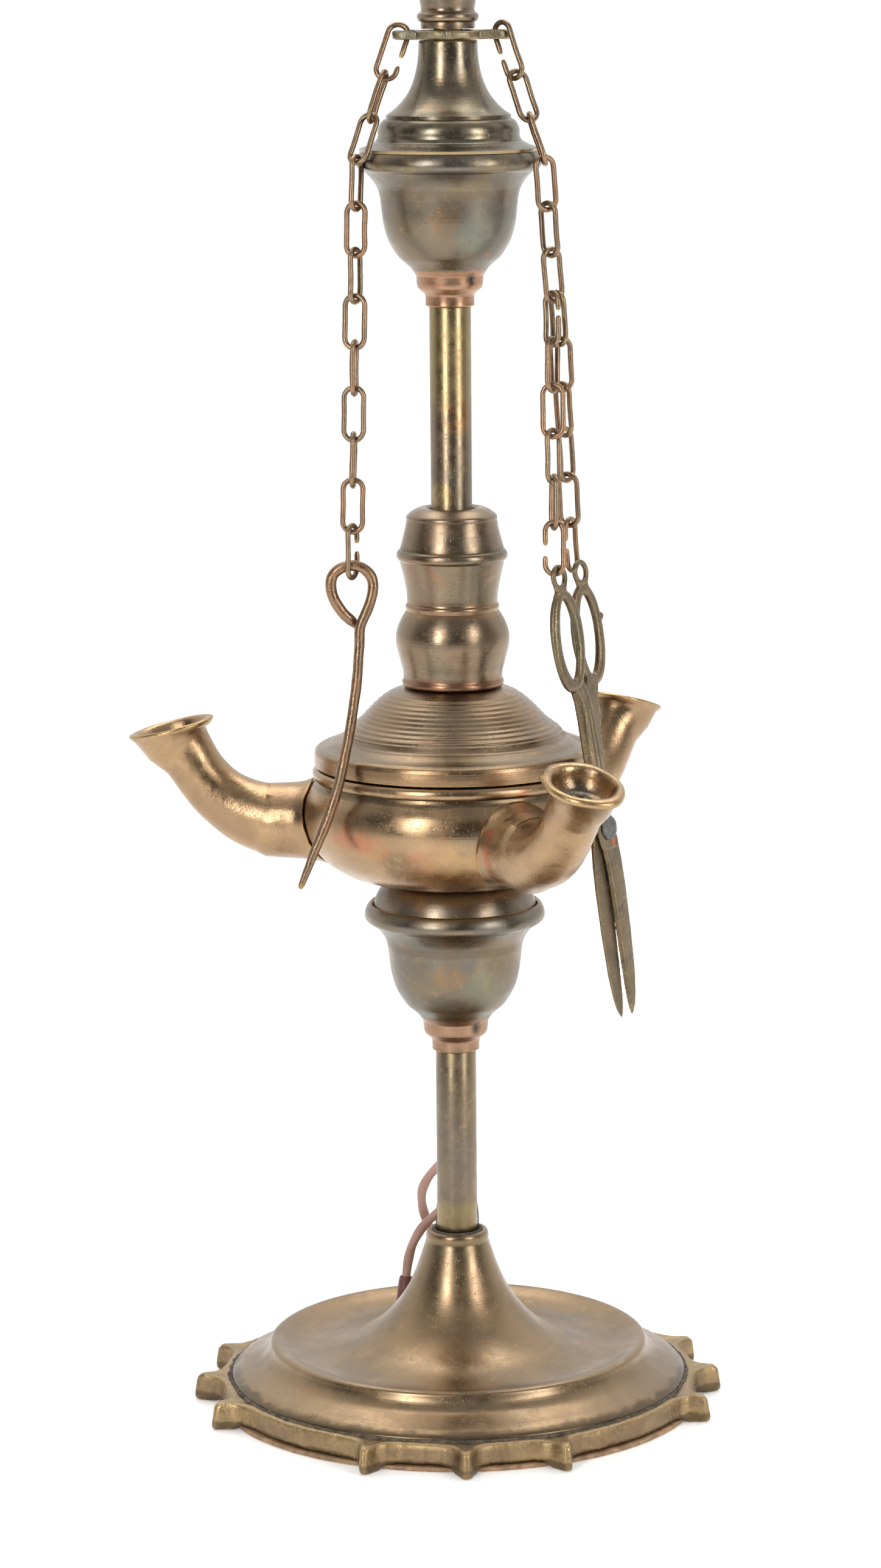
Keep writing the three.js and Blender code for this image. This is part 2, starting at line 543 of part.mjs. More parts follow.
const cordPath = new THREE.CatmullRomCurve3(CORD_ROUTE.map((p) => v3(...p)));
add('cord_sleeve', cordSleeve(), plain(0x6a4038, 0.6));
add('flex_cord', bar(cordPath, CORD_DIAMETER / 2, 44, 8), plain(0xa88478, 0.6));
add('flex_hank', hank(), plain(0xa88478, 0.6));
add('plug', plug(), plain(0x4a342a, 0.4));

export default lamp;
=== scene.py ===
"""Standing oil lamp of the Italian lucerna kind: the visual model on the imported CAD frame.

Lengths are in mm until a mesh is made."""
import math

import bpy
from mathutils import Matrix, Vector, noise


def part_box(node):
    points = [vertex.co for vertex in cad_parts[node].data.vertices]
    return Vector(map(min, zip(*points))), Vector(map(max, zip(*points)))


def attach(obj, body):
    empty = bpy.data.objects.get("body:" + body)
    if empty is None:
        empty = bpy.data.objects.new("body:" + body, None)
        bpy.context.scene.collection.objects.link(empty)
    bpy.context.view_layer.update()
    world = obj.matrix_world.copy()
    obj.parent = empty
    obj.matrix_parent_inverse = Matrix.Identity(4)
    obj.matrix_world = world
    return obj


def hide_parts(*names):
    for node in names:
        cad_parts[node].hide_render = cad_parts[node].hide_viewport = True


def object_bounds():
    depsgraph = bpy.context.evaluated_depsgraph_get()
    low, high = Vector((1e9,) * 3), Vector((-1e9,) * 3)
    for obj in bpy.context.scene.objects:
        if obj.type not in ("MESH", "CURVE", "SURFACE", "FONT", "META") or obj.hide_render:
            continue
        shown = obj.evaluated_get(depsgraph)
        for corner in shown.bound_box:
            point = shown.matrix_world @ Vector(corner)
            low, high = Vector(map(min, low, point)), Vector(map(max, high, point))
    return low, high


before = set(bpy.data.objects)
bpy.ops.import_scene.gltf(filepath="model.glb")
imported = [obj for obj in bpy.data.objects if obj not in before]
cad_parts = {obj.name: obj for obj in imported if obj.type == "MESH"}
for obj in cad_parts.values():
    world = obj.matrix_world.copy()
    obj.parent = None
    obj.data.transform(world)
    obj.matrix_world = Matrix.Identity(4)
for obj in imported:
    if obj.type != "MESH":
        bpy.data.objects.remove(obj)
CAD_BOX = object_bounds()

noise.seed_set(7)   # Blender seeds this module from the clock, and the shapes have to be the same each run

MM = 0.001
scene = bpy.context.scene
rad = math.radians


def low(node):
    """Height of a CAD node's lowest point, in mm."""
    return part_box(node)[0].z / MM


# ------------------------------------------------------------------ camera
LENS, SENSOR, SHIFT = 103.8, 36, -0.0085
DISTANCE, TARGET_HEIGHT = 1.55, 0.218      # metres
PITCH, ROLL = rad(10.26), rad(-0.4546)


def make_camera():
    data = bpy.data.cameras.new("camera")
    data.lens, data.shift_x = LENS, SHIFT
    data.sensor_fit = "VERTICAL"
    data.sensor_width = data.sensor_height = SENSOR
    camera = bpy.data.objects.new("camera", data)
    scene.collection.objects.link(camera)
    at = (0, -DISTANCE * math.cos(PITCH), TARGET_HEIGHT + DISTANCE * math.sin(PITCH))
    camera.matrix_world = (Matrix.Translation(at) @ Matrix.Rotation(rad(90) - PITCH, 4, "X")
        @ Matrix.Rotation(ROLL, 4, "Z"))
    scene.camera = camera


make_camera()


# ------------------------------------------------------------------ curves and meshes
def circle(count):
    """Evenly spaced angles round one turn."""
    return [2 * math.pi * k / count for k in range(count)]


def polar(radius, angle, z=0.0):
    return Vector((radius * math.cos(angle), radius * math.sin(angle), z))


def catmull(points, steps, closed=False):
    """Centripetal Catmull-Rom through the points, of any dimension."""
    points = [Vector(p) for p in points]
    count = len(points)
    out = []
    spans = count if closed else count - 1
    for i in range(spans):
        p1, p2 = points[i], points[(i + 1) % count]
        if closed:
            p0, p3 = points[i - 1], points[(i + 2) % count]
        else:
            p0 = points[i - 1] if i else p1 * 2 - p2
            p3 = points[i + 2] if i + 2 < count else p2 * 2 - p1
        d1, d2, d3 = (max((b - a).length, 1e-6) ** 0.5 for a, b in ((p0, p1), (p1, p2), (p2, p3)))
        m1 = ((p1 - p0) / d1 - (p2 - p0) / (d1 + d2) + (p2 - p1) / d2) * d2
        m2 = ((p2 - p1) / d2 - (p3 - p1) / (d2 + d3) + (p3 - p2) / d3) * d2
        for k in range(steps):
            t = k / steps
            a, b = p1 - p2, m1 + m2
            out.append(p1 + m1 * t + (-3 * a - 2 * m1 - m2) * t * t + (2 * a + b) * t * t * t)
    if not closed:
        out.append(points[-1])
    return out


def split(outline):
    """An outline's runs: a point written as a list is a corner, where one run ends and the next starts."""
    runs = [[]]
    for point in outline:
        runs[-1].append(point)
        if isinstance(point, list):
            runs.append([point])
    return runs


def smooth(runs, steps=5):
    """The runs as one outline; a run of two points is straight, and any other is a smooth curve."""
    out = []
    for run in runs:
        part = [Vector(p) for p in run] if len(run) == 2 else catmull(run, steps)
        if out and (out[-1] - part[0]).length < 1e-6:
            part = part[1:]
        out += part
    return out


def profile(outline):
    return smooth(split(outline))


def thinned(outline):
    return [Vector(p) for run in split(outline) for p in run[::2]]


def inward(outline, wall):
    """The outline moved to its left by a wall, and reversed."""
    out = []
    for i, p in enumerate(outline):
        a, b = outline[max(i - 1, 0)], outline[min(i + 1, len(outline) - 1)]
        d = (b - a).normalized()
        out.append(Vector((max(p.x - d.y * wall, 0.5), p.y + d.x * wall)))
    return out[::-1]


def make(name, verts, faces, body, node=None, slot=None, material=None, angle=38):
    """A smooth-shaded object from vertices in mm, riding on a body and standing for a CAD node."""
    mesh = bpy.data.meshes.new(name)
    mesh.from_pydata([tuple(Vector(v) * MM) for v in verts], [], faces)
    mesh.validate()
    mesh.shade_smooth()
    mesh.set_sharp_from_angle(angle=rad(angle))
    obj = bpy.data.objects.new(name, mesh)
    scene.collection.objects.link(obj)
    if material:
        mesh.materials.append(material)
    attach(obj, body)
    if node:
        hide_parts(*([node] if isinstance(node, str) else node))
    return obj


def revolve(outline, sides=144, lift=0.0):
    """Vertices and faces of a closed outline, anticlockwise, turned about Z."""
    verts, faces = [], []
    count = len(outline)
    for a in circle(sides):
        verts += [polar(p[0], a, p[1] + lift) for p in outline]
    for k in range(sides):
        m = (k + 1) % sides
        for i in range(count):
            j = (i + 1) % count
            faces.append((k * count + i, m * count + i, m * count + j, k * count + j))
    return verts, faces


def rings_to_mesh(rings, closed=False):
    """Skins rings of equal point counts; open rows get flat caps."""
    count, rows = len(rings[0]), len(rings)
    verts = [p for ring in rings for p in ring]
    faces = []
    for k in range(rows if closed else rows - 1):
        m = (k + 1) % rows
        for i in range(count):
            j = (i + 1) % count
            faces.append((k * count + i, k * count + j, m * count + j, m * count + i))
    if not closed:
        faces.append(tuple(range(count))[::-1])
        faces.append(tuple((rows - 1) * count + i for i in range(count)))
    return verts, faces


def frames(points, closed=False):
    """Tangent and two normals carried along a path without twist."""
    count = len(points)
    out, normal = [], None
    for i in range(count):
        if closed:
            t = (points[(i + 1) % count] - points[i - 1]).normalized()
        else:
            t = (points[min(i + 1, count - 1)] - points[max(i - 1, 0)]).normalized()
        if normal is None:
            normal = t.orthogonal().normalized()
        normal = (normal - normal.dot(t) * t).normalized()
        out.append((t, normal, t.cross(normal)))
    return out


def sweep(points, radius, sides=14, closed=False):
    """A round bar along a path; radius is a number or a function of the index."""
    rings = []
    for i, (t, n, b) in enumerate(frames(points, closed)):
        r = radius(i) if callable(radius) else radius
        rings.append([points[i] + (n * math.cos(a) + b * math.sin(a)) * r for a in circle(sides)])
    return rings_to_mesh(rings, closed)


def joined(*parts):
    verts, faces = [], []
    for v, f in parts:
        base = len(verts)
        verts += list(v)
        faces += [tuple(i + base for i in face) for face in f]
    return verts, faces


def placed(part, matrix):
    return [matrix @ Vector(v) for v in part[0]], part[1]


def roughened(part, amount, size, seed=0.0):
    """Moves each vertex a little by a smooth noise field, as on a casting."""
    shift = Vector((seed, seed * 1.7, seed * 2.3))
    return [Vector(v) + noise.noise_vector(Vector(v) / size + shift) * amount for v in part[0]], part[1]


# ------------------------------------------------------------------ materials
class Shader:
    """A small builder of node materials. Coordinates are the piece's own, in metres."""

    def __init__(self, name):
        self.material = bpy.data.materials.new(name)
        self.material.use_nodes = True
        self.tree = self.material.node_tree
        self.tree.nodes.clear()
        self.out = self.node("ShaderNodeOutputMaterial")
        self.bsdf = self.node("ShaderNodeBsdfPrincipled")
        self.tree.links.new(self.bsdf.outputs[0], self.out.inputs[0])
        self.place = self.node("ShaderNodeTexCoord").outputs["Object"]

    def node(self, kind, **settings):
        node = self.tree.nodes.new(kind)
        for key, value in settings.items():
            setattr(node, key, value)
        return node

    def put(self, socket, value):
        if isinstance(value, bpy.types.NodeSocket):
            self.tree.links.new(value, socket)
        else:
            bare_colour = socket.type == "RGBA" and len(value) == 3
            socket.default_value = (*value, 1) if bare_colour else value

    def set(self, name, value):
        self.put(self.bsdf.inputs[name], value)

    def math(self, operation, a, b=0.0, c=0.0):
        node = self.node("ShaderNodeMath", operation=operation)
        for socket, value in zip(node.inputs, (a, b, c)):
            self.put(socket, value)
        return node.outputs[0]

    def times(self, a, b):
        return self.math("MULTIPLY", a, b)

    def noise(self, scale, detail=4.0, rough=0.6, at=None, warp=0.0):
        node = self.node("ShaderNodeTexNoise")
        for key, value in (("Vector", at or self.place), ("Scale", scale), ("Detail", detail),
                ("Roughness", rough), ("Distortion", warp)):
            self.put(node.inputs[key], value)
        return node.outputs["Fac"]

    def fit(self, value, a, b, to=(0.0, 1.0)):
        node = self.node("ShaderNodeMapRange", interpolation_type="SMOOTHSTEP")
        for socket, v in zip(node.inputs, (value, a, b, *to)):
            self.put(socket, v)
        return node.outputs[0]

    def mix(self, share, a, b):
        node = self.node("ShaderNodeMix", data_type="RGBA")
        for index, value in ((0, share), (6, a), (7, b)):
            self.put(node.inputs[index], value)
        return node.outputs[2]

    def xyz(self):
        node = self.node("ShaderNodeSeparateXYZ")
        self.put(node.inputs[0], self.place)
        return node.outputs

    def vector(self, x, y, z):
        node = self.node("ShaderNodeCombineXYZ")
        for socket, value in zip(node.inputs, (x, y, z)):
            self.put(socket, value)
        return node.outputs[0]

    def radius(self):
        x, y, _ = self.xyz()
        return self.math("SQRT", self.math("ADD", self.times(x, x), self.times(y, y)))

    def near(self, point, reach):
        """1 at a point in mm, 0 past its reach."""
        node = self.node("ShaderNodeVectorMath", operation="DISTANCE")
        self.put(node.inputs[0], self.place)
        node.inputs[1].default_value = [v * MM for v in point]
        return self.fit(node.outputs["Value"], reach * MM, reach * MM * 0.45)

    def bump(self, height, distance, strength=1.0):
        node = self.node("ShaderNodeBump")
        self.put(node.inputs["Height"], height)
        node.inputs["Distance"].default_value = distance
        node.inputs["Strength"].default_value = strength
        if self.bsdf.inputs["Normal"].is_linked:
            self.tree.links.new(self.bsdf.inputs["Normal"].links[0].from_socket, node.inputs["Normal"])
        self.put(self.bsdf.inputs["Normal"], node.outputs[0])


BROWN = (0.34, 0.245, 0.125)
OLIVE = (0.25, 0.2, 0.115)
GOLD = (0.52, 0.36, 0.155)
COPPER = (0.5, 0.22, 0.11)
DIRT = (0.05, 0.038, 0.022)


def brass(name, base=BROWN, second=OLIVE, patches=COPPER, patch_share=0.3, rough=(0.24, 0.4), turned=1.0,
        bands=(), spots=(), pits=0.5, cast=0.0, scale=1.0):
    """Aged brass. A band is (low z, high z, softness, colour, share) and a spot (point, reach, colour, share)."""
    s = Shader(name)
    wide = s.noise(42 * scale, 5, 0.62, warp=0.4)
    colour = s.mix(s.fit(wide, 0.4, 0.62), base, second)
    fine = s.noise(210 * scale, 6, 0.7, warp=0.8)
    colour = s.mix(s.times(s.fit(fine, 0.56, 0.7), 0.28), colour, GOLD)
    blush = s.noise(75 * scale, 6, 0.68, warp=1.2)
    colour = s.mix(s.times(s.fit(blush, 0.57, 0.68), patch_share), colour, patches)
    x, y, z = s.xyz()
    for lo, hi, soft, tint, share in bands:
        wobble = s.times(s.math("SUBTRACT", s.noise(160, 4), 0.5), soft * 3 * MM)
        height = s.math("ADD", z, wobble)
        inside = s.times(s.fit(height, (lo - soft) * MM, lo * MM),
            s.fit(height, (hi + soft) * MM, hi * MM))
        colour = s.mix(s.times(inside, share), colour, tint)
    for point, reach, tint, share in spots:
        ragged = s.fit(s.noise(260, 5), 0.3, 0.55)
        colour = s.mix(s.times(s.times(s.near(point, reach), ragged), share), colour, tint)
    speck = s.fit(s.noise(1500, 3, 0.6), 0.66, 0.74)
    colour = s.mix(s.times(speck, pits), colour, DIRT)
    sheen = s.fit(s.noise(120 * scale, 5, 0.65), 0.3, 0.7, rough)
    if turned:
        around = s.times(s.math("ARCTAN2", y, x), 0.35)
        line = s.noise(1.0, 3, 0.75, at=s.vector(s.times(s.radius(), 2600), around,
            s.times(z, 2600)))
        colour = s.mix(s.times(s.fit(line, 0.55, 0.75), 0.22 * turned), colour, DIRT)
        s.bump(line, 0.00006 * turned, 0.6)
        sheen = s.math("ADD", sheen, s.times(s.math("SUBTRACT", line, 0.5), 0.12))
    if cast:
        s.bump(s.noise(330, 5, 0.65), 0.0006 * cast, 0.7)
    s.bump(s.fit(s.noise(1100, 3), 0.6, 0.72), -0.00005, 0.5)
    edge = s.node("ShaderNodeNewGeometry").outputs["Pointiness"]
    colour = s.mix(s.times(s.fit(edge, 0.485, 0.43), 0.55), colour, DIRT)
    colour = s.mix(s.times(s.fit(edge, 0.52, 0.58), 0.5), colour, GOLD)
    s.set("Base Color", colour)
    s.set("Roughness", sheen)
    s.set("Metallic", 1.0)
    s.set("Coat Weight", 0.12)
    s.set("Coat Roughness", 0.3)
    return s.material


def plain(name, colour, second, rough, scale=120.0, bump=0.0001, bump_scale=900.0, metallic=0.0, specular=0.5):
    """Fibre, plastic, porcelain or plated steel: mottled, and a little uneven."""
    s = Shader(name)
    s.set("Base Color", s.mix(s.fit(s.noise(scale, 5, 0.65), 0.35, 0.65), colour, second))
    s.set("Roughness", s.fit(s.noise(scale * 2, 4), 0.3, 0.7, rough))
    s.bump(s.noise(bump_scale, 4, 0.7), bump, 0.6)
    s.set("Metallic", metallic)
    s.set("Specular IOR Level", specular)
    return s.material


def repaint(node, material):
    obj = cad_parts[node]
    obj.data.materials.clear()
    obj.data.materials.append(material)


# ------------------------------------------------------------------ flex, first of the pieces
CORD_DIAMETER = 3.4
SLEEVE_AT = Vector((-18.9, 12.4, 32.4))
SLEEVE_WAY = Vector((0.1, 0.16, 0.98)).normalized()
CORD_ROUTE = [
    (-18.1, 13.7, 40), (-17.3, 14.4, 45.4), (-15.5, 15, 51.2), (-12, 15, 57), (-7.4, 15.1, 61.4), (-2.4, 16, 65.2),
    (2.2, 18.2, 69.4), (4.4, 21.6, 74.4), (2.8, 24.4, 78.8), (-1.6, 25.2, 79.8), (-5.8, 24.2, 77), (-9.8, 23.2, 73),
    (-12.3, 22.8, 68), (-12.4, 22.8, 63), (-11.2, 24, 57.6), (-8.6, 28, 50.4), (-5.6, 34.4, 42.6), (-2.6, 42, 35.2),
    (0.4, 51, 29.4), (3.2, 60.4, 25.8), (5.6, 70, 22.6), (8.2, 80, 17.4), (11, 90, 12.2), (13.6, 99, 6),
    (15.4, 107, 2.6), (16.4, 116, 1.9), (16.6, 130, 1.9), (14.6, 142, 1.9), (9.6, 152, 1.9), (5.4, 159, 1.9),
    (4.9, 163, 1.9),
]
# from the hank into the plug
CORD_END = [(-7.2, 179, 9.4), (-8.9, 173.5, 9), (-9.1, 166, 8.8), (-7.6, 158, 8.4), (-4, 151.5, 7.6),
    (-1, 147.6, 7), (0, 144, 6.9)]


def hank_route():
    """Turns of the hank: four stand side by side and lie in three layers, and the last leaves for the plug."""
    lo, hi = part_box("flex_hank")
    middle, half = (hi.z / MM + lo.z / MM) / 2, (hi.z / MM - lo.z / MM) / 2
    near, far = lo.y / MM + half, hi.y / MM - half
    out = []
    for layer in range(3):
        reach = half - CORD_DIAMETER / 2 - layer * (CORD_DIAMETER + 0.02)
        side = 1 if layer % 2 == 0 else -1
        for turn in range(4):
            for k in range(20):
                u = k / 20
                cross = max(0.0, (u - 0.78) / 0.22) if turn < 3 else 0.0
                x = side * CORD_DIAMETER * (1.5 - turn - cross)
                quarter = u % 0.25 / 0.25
                if u < 0.25:
                    y, z = near + (far - near) * quarter, middle - reach
                elif u < 0.5:
                    a = quarter * math.pi
                    y, z = far + reach * math.sin(a), middle - reach * math.cos(a)
                elif u < 0.75:
                    y, z = far + (near - far) * quarter, middle + reach
                else:
                    a = quarter * math.pi
                    y, z = near - reach * math.sin(a), middle + reach * math.cos(a)
                out.append((x, y, z))
    return out


def spaced(points, step):
    out, left = [points[0]], step
    for a, b in zip(points, points[1:]):
        length = (b - a).length
        while length >= left > 0:
            a = a + (b - a) * (left / length)
            out.append(a)
            length, left = (b - a).length, step
        left -= length
    return out


def make_cord():
    start = [tuple(SLEEVE_AT + SLEEVE_WAY * d) for d in (-6, 1)]
    route = spaced(catmull(start + CORD_ROUTE + hank_route() + CORD_END, 8), 1.1)
    rings = []
    for i, (t, n, b) in enumerate(frames(route)):
        ring = []
        for a in circle(16):
            turn = a * 2 - i * 0.62
            r = CORD_DIAMETER / 2 * (0.95 + 0.06 * math.cos(turn))
            ring.append(route[i] + (n * math.cos(a) + b * math.sin(a)) * r)
        rings.append(ring)
    cord = make("flex", *rings_to_mesh(rings), "stem", ("flex_cord", "flex_hank"), "flex",
        plain("flex_rubber", (0.36, 0.2, 0.155), (0.45, 0.28, 0.225), (0.5, 0.68), 60, 0.00012, 1400), angle=80)
    length = sum((q - p).length for p, q in zip(route, route[1:])) * MM
    return cord, route, length


def make_tie():
    lo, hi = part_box("flex_hank")
    y, half, bottom, top = (lo.y + hi.y) / 2 / MM, 7.1, lo.z / MM + 0.05, hi.z / MM + 0.15
    loop = catmull([(half, y, bottom + 2), (half, y, top - 2), (half - 2, y, top), (2 - half, y, top),
        (-half, y, top - 2), (-half, y, bottom + 2), (2 - half, y, bottom + 0.3), (half - 2, y, bottom + 0.3)],
        6, closed=True)
    rings = []
    for i, p in enumerate(loop):
        out = Vector((p.x, 0, p.z - (top + bottom) / 2)).normalized()
        wide = Vector((0, 1.6, 0))
        rings.append([p + wide, p + wide + out * 0.5, p - wide + out * 0.5, p - wide])
    return make("hank_tie", *rings_to_mesh(rings, closed=True), "stem", None, "plug",
        plain("tie_wire", (0.03, 0.03, 0.032), (0.05, 0.05, 0.05), (0.35, 0.5)))


def rounded_section(half_x, half_z, corner, count=8):
    out = []
    for cx, cz, start in ((1, 1, 0), (-1, 1, 90), (-1, -1, 180), (1, -1, 270)):
        for k in range(count):
            a = rad(start + 90 * k / (count - 1))
            out.append((cx * (half_x - corner) + corner * math.cos(a),
                cz * (half_z - corner) + corner * math.sin(a)))
    return out


def make_plug():
    """A moulded mains plug with two round pins, lying on the floor behind the foot."""
    lo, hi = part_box("plug")
    front, cz = lo.y / MM, (lo.z + hi.z) / 2 / MM
    rings = []
    for y, hx, hz in ((19.2, 11.6, 5.2), (19.4, 12.3, 6.2), (20.4, 12.8, 6.7), (25, 12.7, 6.7), (30, 11.4, 6.3),
            (34, 9.2, 5.6), (38, 6.4, 4.8), (41, 4.6, 4), (41.4, 3.6, 3.3), (42.2, 3.6, 3.3), (42.5, 4.2, 3.8),
            (43.5, 4.2, 3.8), (43.8, 3.4, 3.2), (44.6, 3.4, 3.2), (45, 3.6, 3.4), (45.9, 3, 2.9),
            (46, 1.8, 1.8)):
        section = rounded_section(hx, hz, min(hz * 0.75, hx * 0.75))
        rings.append([Vector((a, front + y, cz + b)) for a, b in section])
    body = rings_to_mesh([ring[::-1] for ring in rings])
    pins = []
    for x in (-9.4, 9.4):
        steps = [(0.02, 0.9), (0.1, 1.6), (0.5, 2.0), (9, 2.0), (9.1, 1.9), (19.6, 1.9)]
        path = [Vector((x, front + y, cz)) for y, _ in steps]
        pins.append(sweep(path, lambda i, s=steps: s[i][1], 20))
    obj = make("plug_body", *body, "stem", "plug", "plug", plain("plug_bakelite", (0.075, 0.035, 0.022),
        (0.1, 0.05, 0.03), (0.28, 0.42)))
    metal = make("plug_pins", *joined(*pins), "stem", None, "steel", plain("pin_nickel", (0.55, 0.5, 0.4),
        (0.42, 0.38, 0.3), (0.22, 0.4), metallic=1.0))
    return obj, metal


flex, flex_route, flex_length = make_cord()
tie = make_tie()
plug_body, plug_pins = make_plug()
sleeve_outline = profile([(1.9, -4), [2.5, -4], (2.6, -3), (2.6, 3), (2.45, 5.4), [2.15, 7], [1.85, 7], (1.9, -4)])
sleeve_place = Matrix.Translation(SLEEVE_AT) @ Vector((0, 0, 1)).rotation_difference(SLEEVE_WAY).to_matrix().to_4x4()
sleeve = make("flex_sleeve", *placed(revolve(sleeve_outline, 32), sleeve_place), "stem", "cord_sleeve",
    "sleeve", plain("sleeve_rubber", (0.2, 0.07, 0.05), (0.14, 0.05, 0.04), (0.4, 0.6)))

# ------------------------------------------------------------------ base
DISH = [(79.3, 9.5), (79.2, 10), (78.6, 10.7), (76.3, 12.3), (72.5, 13.9), (69, 15.8), (67.2, 17.6),
    [66.5, 18.6], (66.1, 19.6), (65.7, 20.8), (65, 21.5), (64, 21.75), (62.8, 21.5), [61.2, 20.9], (57.5, 19.4),
    (52, 18.3), (45, 18.9), (38, 20.8), (31.5, 24.2), (26.4, 28.2), (21.2, 34), (17, 40.6), (14, 47.4),
    (11.9, 53.6), [10.8, 57], (10.9, 58.2), (10.7, 59.6), (10.1, 60.4), (9.4, 60.5)]
DISH_WALL = 1.4


def make_base():
    # The spot at (20, -52, 18) is a painted dark reflection on the front of the dish floor.
    dish = brass("dish_brass", base=(0.31, 0.212, 0.122), second=(0.25, 0.178, 0.108), patches=(0.4, 0.2, 0.1),
        patch_share=0.25, rough=(0.25, 0.38), turned=0.7, bands=[(54, 61, 3, (0.2, 0.16, 0.09), 0.35),
        (9, 11, 1.5, DIRT, 0.6)], spots=[((20, -52, 18), 9, (0.12, 0.1, 0.07), 0.5),
        ((38, 30, 21), 10, (0.16, 0.15, 0.12), 0.5), ((-40, 24, 20), 14, (0.3, 0.16, 0.09), 0.4)], pits=0.7)
    outer = profile(DISH)
    lip = [Vector((8.6, 60.2)), Vector((8.3, 59.4))]
    inner = inward(thinned(DISH), DISH_WALL)
    make("dish", *revolve(outer + lip + inner[1:], 200), "stem", "base_dish", "brass", dish)
    packing = profile([(7.15, 53), [9.2, 54], (9.3, 59), (8.9, 60.6), (8.2, 60.9), (7.5, 60.4), [7.15, 59.6],
        (7.15, 53)])
    make("stem_packing", *roughened(revolve(packing, 90), 0.22, 1.6), "stem", None, None,
        plain("packing_putty", (0.05, 0.045, 0.035), (0.12, 0.1, 0.07), (0.7, 0.9), 500, 0.0004, 2500))
    tube_metal = brass("tube_brass", base=(0.235, 0.182, 0.122), second=(0.18, 0.148, 0.112),
        patches=(0.36, 0.25, 0.12), patch_share=0.5, rough=(0.27, 0.42), turned=0.35, scale=1.5,
        bands=[(352, 384, 8, (0.5, 0.36, 0.13), 0.3), (52, 66, 6, (0.34, 0.27, 0.12), 0.4)],
        spots=[((2, -7, 345), 8, (0.5, 0.25, 0.1), 0.5), ((-4, -6, 318), 6, GOLD, 0.6)])
    for node in ("lower_tube", "upper_tube"):
        z0, z1 = (v.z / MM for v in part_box(node))
        outline = profile([(5.9, z0), [6.8, z0], [7, z0 + 0.4], [7, (z0 + z1) / 2], [7, z1 - 0.4], [6.8, z1],
            [5.9, z1], (5.9, z0)])
        make(node + "_skin", *revolve(outline, 96), "stem", node, "brass", tube_metal)


CUSP_RADIUS, FOOT_RADIUS, CUSP_STEP, FOOT_TURN = 92.0, 83.0, 22.0, 1.5
TOOTH = [(0, 92), (0.7, 91.8), (1.15, 90.4), (1.7, 87.8), (2.6, 85.6), (4, 84.2), (6, 83.3), (9, 82.9), (30, 82.9)]


def foot_radius(angle):
    cusps = [group * 90 + k * CUSP_STEP + FOOT_TURN for group in range(4) for k in (-1, 0, 1)]
    off = min(abs((angle - c + 180) % 360 - 180) for c in cusps)
    for (a, ra), (b, rb) in zip(TOOTH, TOOTH[1:]):
        if a <= off <= b:
            t = (off - a) / (b - a)
            return ra + (rb - ra) * t
    return TOOTH[-1][1]


